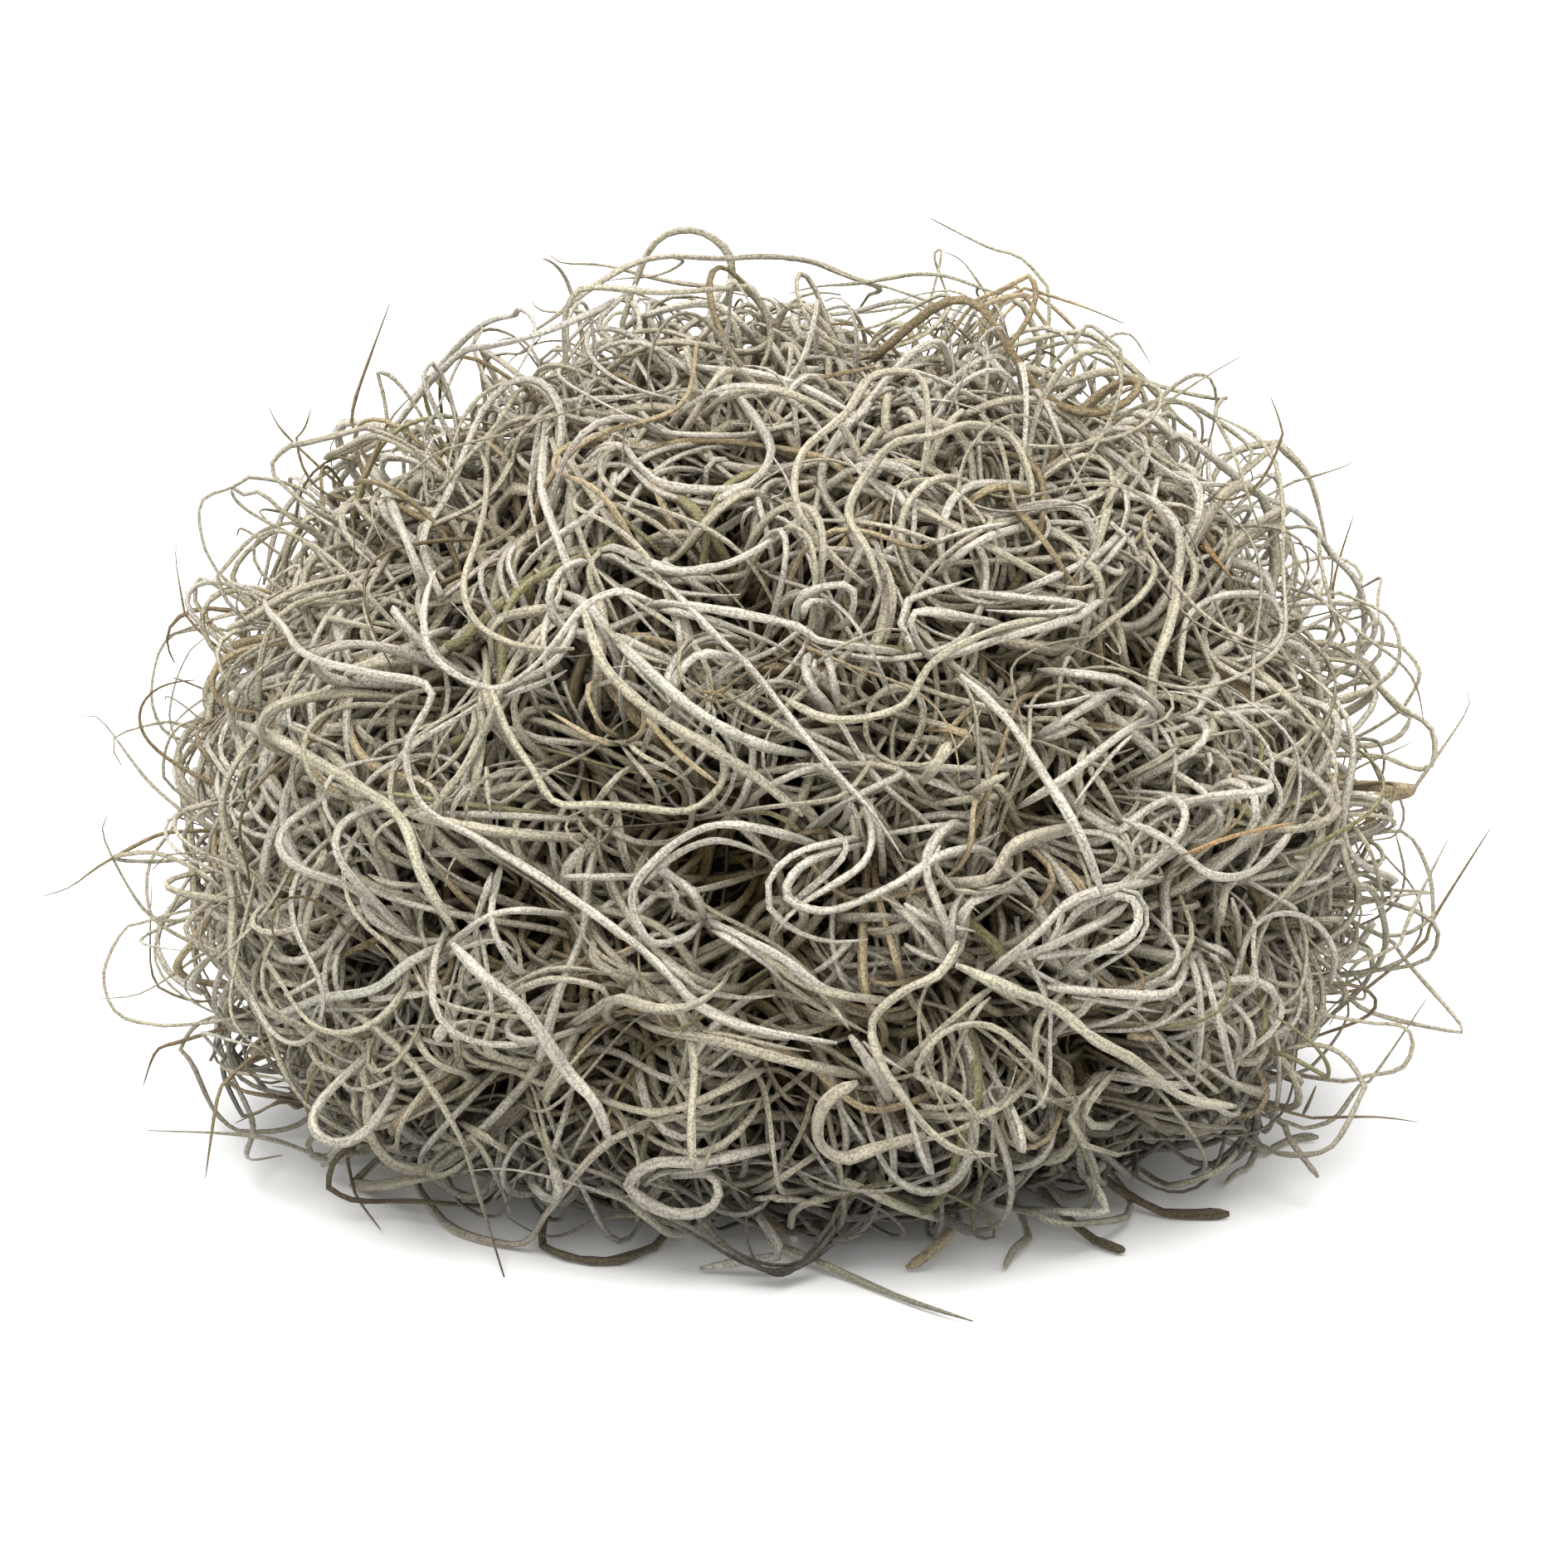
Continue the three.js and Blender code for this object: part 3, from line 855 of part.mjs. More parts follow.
wovenRoutes.forEach((entry, i) => {
  const depth = deepLift * ((i * 7) % depthSteps) / depthSteps;
  weave(frontShoot(asRoute(entry), depth, strandSides), false);
});
tipRoutes.forEach((entry) => weave(frontShoot(asRoute(entry), 0, strandSides), false));
for (let i = 0; i < ruleStrands; i += 1) {
  const direction = spreadDirection(i, ruleStrands);
  const strand = ruleStrand(direction, i % tipEvery === 0, random);
  if (!facesEye(direction)) weave(strand, true);
}
taken.length = 0;
taken.push(...wovenShoots.flatMap((shoot) => stretchesOf(shoot, true)));
const core = coreSolid();
const coreFaces = facesOf(core);
const rootedEnds = wovenShoots.map((shoot) => shootSolid(shoot, true));
let laid = mainBody(rootedEnds.reduce((whole, strand) => whole.add(strand), core));
addPiece('moss_tangle', laid, dullGrey);

function layLoose(name, shoot, finish, optional) {
  const clear = settle(shoot, taken, coreFaces);
  if (optional && !clear) return;
  const solid = restOn(shoot, laid);
  laid = laid.add(solid);
  taken.push(...stretchesOf(shoot, false));
  addPiece(name, solid, finish);
}

for (let i = 0; i < ruleStems; i += 1) {
  const direction = spreadDirection(i, ruleStems);
  const stem = ruleStem(direction, random);
  const finish = looseFinishes[i % looseFinishes.length];
  if (!facesEye(direction)) layLoose(`leafy_stem_${i + 1}`, stem, finish, true);
}
for (const entry of looseRoutes) {
  layLoose(`stem_${entry.name}`, frontShoot(entry, 0, looseSides), paleGrey, false);
}
for (const entry of dryRoutes) {
  layLoose(`dry_bit_${entry.name}`, frontShoot(entry, 0, looseSides), dryTan, false);
}

export default bunch;
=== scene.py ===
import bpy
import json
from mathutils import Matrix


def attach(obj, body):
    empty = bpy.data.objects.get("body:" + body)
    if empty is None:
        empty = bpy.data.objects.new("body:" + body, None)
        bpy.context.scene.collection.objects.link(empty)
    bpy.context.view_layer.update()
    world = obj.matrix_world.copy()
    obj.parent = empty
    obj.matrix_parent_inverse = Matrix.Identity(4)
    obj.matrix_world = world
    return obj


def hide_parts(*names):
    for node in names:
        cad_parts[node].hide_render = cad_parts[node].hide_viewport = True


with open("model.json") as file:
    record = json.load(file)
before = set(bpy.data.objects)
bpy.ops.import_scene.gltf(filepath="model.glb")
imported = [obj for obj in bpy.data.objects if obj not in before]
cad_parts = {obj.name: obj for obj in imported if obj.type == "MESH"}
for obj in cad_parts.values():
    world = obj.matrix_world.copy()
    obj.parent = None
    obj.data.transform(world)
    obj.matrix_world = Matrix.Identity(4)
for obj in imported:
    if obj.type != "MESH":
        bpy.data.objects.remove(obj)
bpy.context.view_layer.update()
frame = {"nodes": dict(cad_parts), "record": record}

import json
import math

import bpy
import numpy as np

scene = bpy.context.scene
mm = 0.001
anyPhase = (0, 6)  # radians, nearly a full turn
fullPhase = (0, 6.3)

# the bunch is an egg-like mound, cut flat below
mound = {
    "width": 116 * mm,  # across X, without the free tips
    "depth": 102 * mm,  # across Y
    "top": 83 * mm,
    "waist": 26 * mm,  # level where it is widest
    "under": 43 * mm,  # reach of the round underside below the waist, uncut
    "clear": 0.6 * mm,  # the lowest that the middle of a strand lies
    "lowest": -0.6,  # lowest direction that a strand starts in
}
heart = np.array([0, 0, mound["waist"]])
upperHalf = np.array([mound["width"] / 2, mound["depth"] / 2, mound["top"] - mound["waist"]])
lowerHalf = np.array([mound["width"] / 2, mound["depth"] / 2, mound["under"]])

# where the front is seen from
eyeSet = {
    "distance": 420 * mm,
    "elevation": math.radians(15),
    "across": -0.4 * mm,
    "up": 8.4 * mm,
    "lens": 100,
    "sensor": 36,
}
forward = np.array([0, math.cos(eyeSet["elevation"]), -math.sin(eyeSet["elevation"])])
upward = np.array([0, math.sin(eyeSet["elevation"]), math.cos(eyeSet["elevation"])])
sideways = np.array([1.0, 0, 0])
eye = heart + eyeSet["across"] * sideways + eyeSet["up"] * upward - eyeSet["distance"] * forward


def unit(vectors):
    # each vector made one long
    return vectors / np.linalg.norm(vectors, axis=-1, keepdims=True)


def halfFor(directions):
    # the half sizes that hold above or below the waist
    return np.where(directions[..., 2:] >= 0, upperHalf, lowerHalf)


def aboveFloor(points):
    points[..., 2] = np.maximum(points[..., 2], mound["clear"])
    return points


def onMound(directions, lifts):
    # the direction times the half sizes, made longer by the lift, and kept above the floor
    reach = directions * halfFor(directions)
    return aboveFloor(heart + reach * (1 + lifts / np.linalg.norm(reach, axis=-1))[..., None])


def onFront(across, up, lifts):
    # the line of sight through (across, up) meets the mound made larger by the lift; a line that
    # passes beside it gives its nearest point, and one that would end under the floor gives the floor
    line = unit(heart + across[..., None] * sideways + up[..., None] * upward - eye)
    points = None
    for half in (upperHalf, lowerHalf):
        grown = half + lifts[..., None]
        start = (eye - heart) / grown
        run = line / grown
        runRun = (run * run).sum(-1)
        nearest = -(start * run).sum(-1) / runRun
        inside = np.maximum(0, nearest**2 - ((start * start).sum(-1) - 1) / runRun)
        depth = nearest - np.sqrt(inside) - np.maximum(0, lifts) / 2
        found = eye + line * depth[..., None]
        points = found if points is None else np.where(points[..., 2:] >= heart[2], points, found)
    floorLevel = mound["clear"] + np.maximum(0, lifts)
    onFloor = eye + line * ((floorLevel - eye[2]) / line[..., 2])[..., None]
    return np.where(points[..., 2:] < floorLevel[..., None], onFloor, points)


def seenAt(points):
    # the (across, up) that onFront would need for a point
    away = points - eye
    shrink = eyeSet["distance"] / (away @ forward)
    return away @ sideways * shrink + eyeSet["across"], away @ upward * shrink + eyeSet["up"]


def liftOf(points):
    # how far a point stands out of the mound, and the way straight out from there
    away = (points - heart) / halfFor(points - heart)
    level = np.linalg.norm(away, axis=-1)
    out = unit(away / halfFor(points - heart))
    return (level - 1) / level * np.linalg.norm(points - heart, axis=-1), out


def lengthOf(points):
    # the lengths from point to point, added up
    return np.linalg.norm(np.diff(points, axis=0), axis=1).sum()


curveCuts = 12  # cuts of a curve between two points of its route


def evenLine(points, count):
    # a uniform Catmull-Rom curve through the points, then points at even steps of its length
    held = np.vstack([points[:1], points, points[-1:]])
    t = np.linspace(0, 1, curveCuts, endpoint=False)[:, None, None]
    a, b, c, d = held[:-3], held[1:-2], held[2:-1], held[3:]
    square, cube = 2 * a - 5 * b + 4 * c - d, 3 * b - a - 3 * c + d
    curve = 0.5 * (2 * b + (c - a) * t + square * t**2 + cube * t**3)
    curve = np.vstack([curve.transpose(1, 0, 2).reshape(-1, points.shape[1]), points[-1:]])
    travelled = np.concatenate([[0], np.cumsum(np.linalg.norm(np.diff(curve, axis=0), axis=1))])
    stops = np.linspace(0, travelled[-1], count)
    return np.stack([np.interp(stops, travelled, curve[:, k]) for k in range(points.shape[1])], -1)


def smoothed(lines, times):
    # each value but the first and the last goes half way to the mean of its two neighbours
    lines = lines.copy()
    for _ in range(times):
        lines[:, 1:-1] = (lines[:, :-2] + 2 * lines[:, 1:-1] + lines[:, 2:]) / 4
    return lines


# tones of living and dried strands, in the 0-255 steps of a colour picker
tones = {
    "light": (209, 202, 186),
    "grey": (192, 184, 161),
    "lilac": (190, 182, 168),
    "green": (182, 176, 151),
    "olive": (158, 152, 114),
    "tan": (190, 172, 138),
    "orange": (188, 154, 112),
    "brown": (148, 132, 102),
    "dark": (120, 108, 84),
    "tip": (110, 94, 66),
}


def linear(colour):
    # a colour picker's steps as the light that they stand for, by the sRGB curve
    colour = np.asarray(colour) / 255
    return np.where(colour > 0.04045, ((colour + 0.055) / 1.055) ** 2.4, colour / 12.92)


def pickTones(shares, count, draw):
    # a tone for each strand, drawn by the shares
    chances = np.array(list(shares.values()))
    table = np.array([linear(tones[name]) for name in shares])
    return table[draw.choice(len(shares), count, p=chances / chances.sum())]


# painted shade near the floor: strands lower than this height are darkened
floorShadeSet = {"height": 16 * mm, "most": 0.9, "power": 1.4}


def undersideDim(points, share=1.0):
    # painted shade: the nearer a strand is to the floor the darker it is made, by the share at most
    clean = np.clip(points[..., 2:] / floorShadeSet["height"], 0, 1) ** floorShadeSet["power"]
    return 1 - floorShadeSet["most"] * share * (1 - clean)


ringSet = {
    "startAxis": [0.31, 0.22, 0.92],  # an axis that hardly any strand starts along
    "flat": 0.12,  # how ribbon-like a strand is
    "stripShare": 0.9,  # how much of its strip on the map a strand fills
}


def strandRings(path, radius, sides, spin, flat):
    # rings carried along each strand without twisting: a corner stands out from the middle line by
    # radius * (1 + flat * cos(2 * angle)), and the angles turn with the spin, so it is ribbon-like
    tangents = unit(np.gradient(path, axis=1))
    side = unit(np.cross(tangents[:, 0], ringSet["startAxis"]))
    sidesAlong = np.empty_like(path)
    for step in range(path.shape[1]):
        side = unit(side - tangents[:, step] * (side * tangents[:, step]).sum(-1, keepdims=True))
        sidesAlong[:, step] = side
    others = np.cross(tangents, sidesAlong)
    angle = np.arange(sides) * 2 * math.pi / sides
    out = radius[..., None] * (1 + flat * np.cos(2 * (angle + spin[..., None])))
    return (
        path[:, :, None]
        + (out * np.cos(angle))[..., None] * sidesAlong[:, :, None]
        + (out * np.sin(angle))[..., None] * others[:, :, None]
    )


class StrandBatch:
    # gathers the corners, faces, colours and maps of many strands for one mesh
    def __init__(self):
        self.corners = []
        self.colours = []
        self.quads = []
        self.fans = []
        self.maps = {"OFBake": ([], []), "strandRun": ([], [])}  # of the quads and of the fans
        self.used = 0
        self.strands = 0

    def add(self, path, radius, colour, sides, spin=None, flat=ringSet["flat"]):
        count, steps, _ = path.shape
        if spin is None:
            spin = np.zeros((count, steps))
        rings = strandRings(path, radius, sides, spin, flat)
        corners = np.concatenate([rings.reshape(count, -1, 3), path[:, :1], path[:, -1:]], 1)
        hue = np.repeat(colour, sides, axis=1)
        hue = np.concatenate([hue, colour[:, :1], colour[:, -1:]], 1)
        self.corners.append(corners.reshape(-1, 3))
        self.colours.append(hue.reshape(-1, 3))
        self.addFaces(count, steps, sides)
        self.addMaps(path, spin, sides)
        self.used += count * (steps * sides + 2)
        self.strands += count

    def addFaces(self, count, steps, sides):
        # quads between the rings, and a fan to the middle of each end
        each = steps * sides + 2
        first = self.used + np.arange(count)[:, None, None] * each
        step, k = np.meshgrid(np.arange(steps - 1), np.arange(sides), indexing="ij")
        a, b = step * sides + k, step * sides + (k + 1) % sides
        quads = np.stack([a, b, b + sides, a + sides], -1).reshape(-1, 4)
        k = np.arange(sides)
        last = (steps - 1) * sides
        startFan = np.stack([np.full(sides, each - 2), (k + 1) % sides, k], -1)
        endFan = np.stack([np.full(sides, each - 1), last + k, last + (k + 1) % sides], -1)
        fans = np.concatenate([startFan, endFan])
        self.quads.append((first + quads[None]).reshape(-1, 4))
        self.fans.append((first + fans[None]).reshape(-1, 3))

    def addMaps(self, path, spin, sides):
        # one map has each strand as a strip of its own; the other gives how far along the strand a
        # corner is, in millimetres, and how far round it, turned with the spin
        count, steps, _ = path.shape
        row = (self.strands + np.arange(count))[:, None, None]
        gone = np.cumsum(np.linalg.norm(np.diff(path, axis=1, prepend=path[:, :1]), axis=-1), 1) / mm
        k = np.arange(sides)
        around = np.tile(np.stack([k, k + 1, k + 1, k], -1) / sides, (steps - 1, 1))
        startAround = np.stack([k + 0.5, k + 1, k], -1)
        endAround = np.stack([k + 0.5, k, k + 1], -1)
        fanAround = np.concatenate([startAround, endAround]) / sides
        fanStep = np.repeat([0, steps - 1], sides)[:, None] + np.zeros(3, int)
        step = np.repeat(np.arange(steps - 1), sides)
        quadStep = np.stack([step, step, step + 1, step + 1], -1)
        for part, (at, share) in enumerate(((quadStep, around), (fanStep, fanAround))):
            strip = [at / (steps - 1), row + ringSet["stripShare"] * share]
            strip = np.stack(np.broadcast_arrays(*strip), -1)
            furrow = np.stack([gone[:, at], share + spin[:, at] / (2 * math.pi)], -1)
            self.maps["OFBake"][part].append(strip.reshape(-1, 2))
            self.maps["strandRun"][part].append(furrow.reshape(-1, 2))


def setHues(mesh, colours):
    # a colour for each corner, which the material reads
    layer = mesh.attributes.new("strandHue", "FLOAT_COLOR", "POINT")
    layer.data.foreach_set("color", np.c_[colours, np.ones(len(colours))].astype(np.float32).ravel())


def strandMesh(name, batch):
    # the batch as one smooth mesh, with its colours and its two maps
    corners = np.concatenate(batch.corners)
    quads = np.concatenate(batch.quads)
    fans = np.concatenate(batch.fans)
    mesh = bpy.data.meshes.new(name)
    mesh.vertices.add(len(corners))
    mesh.vertices.foreach_set("co", corners.astype(np.float32).ravel())
    loops = np.concatenate([quads.ravel(), fans.ravel()])
    mesh.loops.add(len(loops))
    mesh.loops.foreach_set("vertex_index", loops.astype(np.int32))
    sizes = np.concatenate([np.full(len(quads), 4), np.full(len(fans), 3)])
    starts = np.concatenate([[0], np.cumsum(sizes)[:-1]])
    mesh.polygons.add(len(sizes))
    mesh.polygons.foreach_set("loop_start", starts.astype(np.int32))
    mesh.polygons.foreach_set("use_smooth", np.ones(len(sizes), bool))
    mesh.update(calc_edges=True)
    setHues(mesh, np.concatenate(batch.colours))
    for mapName, (quadUvs, fanUvs) in batch.maps.items():
        uvs = np.concatenate(quadUvs + fanUvs)
        if mapName == "OFBake":
            uvs[:, 1] /= batch.strands
        layer = mesh.uv_layers.new(name=mapName)
        layer.uv.foreach_set("vector", uvs.astype(np.float32).ravel())
    print("%s: %d strands, %d triangles" % (name, batch.strands, 2 * len(quads) + len(fans)))
    return mesh


def makePiece(mesh, material, node="moss_tangle"):
    mesh.materials.append(material)
    piece = bpy.data.objects.new(mesh.name, mesh)
    scene.collection.objects.link(piece)
    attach(piece, "root")
    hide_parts(node)


mossLook = {
    "roughness": 0.92,
    "specular": 0.2,
    "sheen": 0.06,
    "sheenRoughness": 0.5,
    "mottleScale": 420,
    "mottleRange": (0.3, 0.7),  # noise below and above this is wholly dark or bright
    "mottleDark": 0.88,
    "mottleBright": 1.1,
    "fleckScale": 3700,
    "fleckRange": (0.36, 0.56),
    "fleckDark": 0.6,
    "scaleScale": 5000,
    "furrows": 3,  # round the strand
    "furrowEdge": -0.35,
    # how dark the painted shade in the furrows is
    "furrowShade": 0.76,
    "furrowDepth": 0.5,
    "shiftScale": 900,
    "shift": 3.0,
    "bump": 0.8,
    "bumpDepth": 0.0003,
}


def mossMaterial(name, look):
    # the strand's own hue, mottled and flecked by noise in the object's space and darkened in its furrows
    # as painted shade, with a scaly bump
    material = bpy.data.materials.new(name)
    material.use_nodes = True
    tree = material.node_tree
    add, join = tree.nodes.new, tree.links.new
    shader = tree.nodes["Principled BSDF"]
    shader.inputs["Roughness"].default_value = look["roughness"]
    shader.inputs["Specular IOR Level"].default_value = look["specular"]
    shader.inputs["Sheen Weight"].default_value = look["sheen"]
    shader.inputs["Sheen Roughness"].default_value = look["sheenRoughness"]
    place = add("ShaderNodeTexCoord")
    hue = add("ShaderNodeAttribute")
    hue.attribute_name = "strandHue"

    def noise(scale, detail):
        node = add("ShaderNodeTexNoise")
        node.inputs["Scale"].default_value = scale
        node.inputs["Detail"].default_value = detail
        join(place.outputs["Object"], node.inputs["Vector"])
        return node.outputs["Fac"]

    def ramp(source, low, high, dark, bright):
        node = add("ShaderNodeMapRange")
        node.inputs["From Min"].default_value = low
        node.inputs["From Max"].default_value = high
        node.inputs["To Min"].default_value = dark
        node.inputs["To Max"].default_value = bright
        join(source, node.inputs["Value"])
        return node.outputs["Result"]

    def combine(operation, *sources):
        node = add("ShaderNodeMath")
        node.operation = operation
        for socket, source in zip(node.inputs, sources):
            if isinstance(source, (int, float)):
                socket.default_value = source
            else:
                join(source, socket)
        return node.outputs[0]

    # furrows run along the strand: a sine of the way round it, shifted a little by noise
    run = add("ShaderNodeUVMap")
    run.uv_map = "strandRun"
    split = add("ShaderNodeSeparateXYZ")
    join(run.outputs["UV"], split.inputs[0])
    shift = combine("MULTIPLY", noise(look["shiftScale"], 1), look["shift"])
    turned = combine("MULTIPLY_ADD", split.outputs["Y"], 2 * math.pi * look["furrows"], shift)
    wave = combine("SINE", turned)
    # painted shade: the colour is darker in the furrows
    groove = ramp(wave, -1.0, look["furrowEdge"], look["furrowShade"], 1.0)
    spots = noise(look["mottleScale"], 2)
    mottle = ramp(spots, *look["mottleRange"], look["mottleDark"], look["mottleBright"])
    fleck = ramp(noise(look["fleckScale"], 1), *look["fleckRange"], look["fleckDark"], 1.0)
    tint = add("ShaderNodeVectorMath")
    tint.operation = "SCALE"
    join(hue.outputs["Color"], tint.inputs[0])
    join(combine("MULTIPLY", combine("MULTIPLY", mottle, fleck), groove), tint.inputs["Scale"])
    join(tint.outputs["Vector"], shader.inputs["Base Color"])
    bump = add("ShaderNodeBump")
    bump.inputs["Strength"].default_value = look["bump"]
    bump.inputs["Distance"].default_value = look["bumpDepth"]
    height = combine("MULTIPLY_ADD", groove, look["furrowDepth"], noise(look["scaleScale"], 2))
    join(height, bump.inputs["Height"])
    join(bump.outputs["Normal"], shader.inputs["Normal"])
    return material


mossSkin = mossMaterial("mossSkin", mossLook)
deepSkin = mossMaterial("mossDeepSkin", {**mossLook, "sheen": 0.0})
print("materials ready")


stemSet = {
    "weld": 0.01 * mm,  # corners of the frame nearer than this are one
    "ringEdge": 1.75 * mm,  # edges round a ring are shorter than this, and those along are longer
    "corners": 1.5,  # the frame's corners stand out this much past half the width
    "step": 1.1 * mm,
    "fewest": 5,  # steps of the shortest strand
    "sides": 7,
    "tip": 0.16,
    "flat": 0.14,
    "twist": 170,  # radians a metre
    "wavy": 2.3 * mm,
    "waveUp": 0.6,  # share of the wave that goes up and down
    "wave": {"leafy": 0.7 * mm, "stem": 0.2 * mm, "dry": 0.0},
    "slim": {"leafy": 0.55, "stem": 0.76, "dry": 0.7},
    "greyed": 0.4,  # chance that a pale stem is grey instead
    # share of the painted shade near the floor
    "shadeShare": 0.4,
    "seed": 41,
}


def mergedMesh(node):
    # the corners and triangles of a node, with corners that are less than the weld apart made one
    mesh = frame["nodes"][node].data
    corners = np.empty(len(mesh.vertices) * 3)
    mesh.vertices.foreach_get("co", corners)
    corners = corners.reshape(-1, 3)
    faces = np.empty(len(mesh.polygons) * 3, int)
    mesh.polygons.foreach_get("vertices", faces)
    cells = np.round(corners / stemSet["weld"])
    _, first, same = np.unique(cells, axis=0, return_index=True, return_inverse=True)
    return corners[first], same.ravel()[faces].reshape(-1, 3)


def groupsOf(count, pairs):
    # each takes the lowest number among itself and those that it is paired with, until none changes
    group = np.arange(count)
    for _ in range(count):
        before = group.copy()
        lowest = np.minimum(group[pairs[:, 0]], group[pairs[:, 1]])
        np.minimum.at(group, pairs[:, 0], lowest)
        np.minimum.at(group, pairs[:, 1], lowest)
        if (group == before).all():
            break
    return np.unique(group, return_inverse=True)[1]


def ringsOf(node):
    # The corners of one ring lie nearer each other than any two rings do, so corners joined by short
    # edges are one ring. Gives each ring's middle, mean reach and count of corners, and for each ring
    # the rings that longer edges link it with.
    corners, faces = mergedMesh(node)
    edges = np.sort(np.concatenate([faces[:, [0, 1]], faces[:, [1, 2]], faces[:, [2, 0]]]), axis=1)
    edges = np.unique(edges[edges[:, 0] != edges[:, 1]], axis=0)
    lengths = np.linalg.norm(corners[edges[:, 0]] - corners[edges[:, 1]], axis=1)
    ring = groupsOf(len(corners), edges[lengths < stemSet["ringEdge"]])
    size = np.bincount(ring)
    middle = np.stack([np.bincount(ring, corners[:, k]) for k in range(3)], -1) / size[:, None]
    reach = np.bincount(ring, np.linalg.norm(corners - middle[ring], axis=1)) / size
    links = np.sort(ring[edges], axis=1)
    beside = [[] for _ in size]
    for a, b in np.unique(links[links[:, 0] != links[:, 1]], axis=0):
        beside[a].append(b)
        beside[b].append(a)
    return middle, reach, size, beside


def walkRings(end, middle, beside, walked, isStem):
    # from ring to ring; at a fork the straightest way on is the stem's, and a leaf ends there
    line = [end]
    while True:
        here = line[-1]
        onward = [k for k in beside[here] if (min(here, k), max(here, k)) not in walked and k not in line]
        leafEnds = len(line) > 1 and len(beside[here]) > 2 and not isStem
        if not onward or leafEnds:
            return line
        if len(onward) > 1:
            way = unit(middle[here] - middle[line[-2]])
            onward.sort(key=lambda k: -float(unit(middle[k] - middle[here]) @ way))
        walked.add((min(here, onward[0]), max(here, onward[0])))
        line.append(onward[0])


def stemLines(node):
    # the stem's middle line and then its leaves', each with its radius and whether it starts and ends
    # in a point, which is a ring of fewer than three corners
    middle, reach, size, beside = ringsOf(node)
    ends = [k for k in range(len(size)) if len(beside[k]) == 1]
    ends.sort(key=lambda k: -size[k])  # a blunt end has the most corners
    lines, walked = [], set()
    for end in ends:
        line = walkRings(end, middle, beside, walked, not lines)
        if len(line) > 1:
            ringSizes = size[line]
            full = reach[line][ringSizes >= 3]
            lines.append((middle[line], float(np.median(full)), ringSizes[0] < 3, ringSizes[-1] < 3))
    return lines


widthSet = {
    "uneven": 0.07,  # share by which the width swells slowly, and by which it varies at random
    "swells": (9, 16),
    "blunt": 0.45,  # a blunt end starts at this share of the width,
    "widen": 7,  # and gains this many widths over the whole length, until it is full
    "pointed": 0.8,  # below 1 a point is rounder, above it is hollow
}


def taperTo(tip, near, tipShare):
    # 1, narrowing to the tip's share over the last stretch; near is the share of the way left
    return tip + (1 - tip) * np.clip(near / tipShare, 0, 1) ** widthSet["pointed"]


def radiusAlong(width, steps, tipStart, tipEnd, draw, tipShare=0.3, tip=0.16):
    # half the width, times a slow sine and a random part, times the narrowing towards the ends
    t = np.linspace(0, 1, steps)
    swell = widthSet["uneven"] * np.sin(t * draw.uniform(*widthSet["swells"]) + draw.uniform(*anyPhase))
    uneven = 1 + swell + widthSet["uneven"] * draw.standard_normal(steps)
    taper = np.minimum(1, widthSet["blunt"] + widthSet["widen"] * np.minimum(t, 1 - t))
    if tipEnd:
        taper = np.minimum(taper, taperTo(tip, 1 - t, tipShare))
    if tipStart:
        taper = np.minimum(taper, taperTo(tip, t, tipShare))
    return width / 2 * uneven * taper


hueSet = {
    "level": (0.94, 1.02),  # how bright one strand is against its tone
    "cast": 0.008,  # how much its red, green and blue differ from that
    "bands": 0.06,  # how much it changes slowly along its length
    "bandTurns": (5, 14),  # radians over the whole length
    "dried": 0.6,  # chance that a point is dried; else it is its strand's hue, dimmed
    "dim": 0.75,
    "tipShare": 0.18,
}


def hueAlong(tone, steps, draw, tipStart, tipEnd):
    # the tone times a slow sine along the strand, going over into the tip's hue at a point
    base = linear(tones[tone]) * draw.uniform(*hueSet["level"])
    base = base * (1 + hueSet["cast"] * draw.standard_normal(3))
    t = np.linspace(0, 1, steps)[:, None]
    bands = np.sin(t * draw.uniform(*hueSet["bandTurns"]) + draw.uniform(*anyPhase))
    hue = base * (1 + hueSet["bands"] * bands)
    tipHue = linear(tones["tip"]) if draw.random() < hueSet["dried"] else base * hueSet["dim"]
    for wanted, near in ((tipEnd, 1 - t), (tipStart, t)):
        if wanted:
            share = np.clip(1 - near / hueSet["tipShare"], 0, 1)
            hue = hue * (1 - share) + tipHue * share
    return hue


def unevenly(points, reach):
    # each coordinate is moved by a sine of the next one, so lines that meet stay together
    turned = points[:, [1, 2, 0]] / stemSet["wavy"]
    return points + reach * np.sin(turned + [0, 1, 2]) * np.array([1, 1, stemSet["waveUp"]])


def addLine(batch, line, width, tone, draw, tipStart, tipEnd, wave):
    # a strand along the line at even steps, a little wavy, turned with the twist as it goes
    steps = max(stemSet["fewest"], int(lengthOf(line) / stemSet["step"]))
    path = unevenly(evenLine(line, steps), wave)
    radius = radiusAlong(width, steps, tipStart, tipEnd, draw, tip=stemSet["tip"])
    # the hue is darkened near the floor as painted shade
    hue = hueAlong(tone, steps, draw, tipStart, tipEnd) * undersideDim(path, stemSet["shadeShare"])
    turned = np.linspace(0, 1, steps) * lengthOf(path) * stemSet["twist"]
    spin = turned * draw.uniform(-1, 1) + draw.uniform(*anyPhase)
    batch.add(path[None], radius[None], hue[None], stemSet["sides"], spin[None], stemSet["flat"])


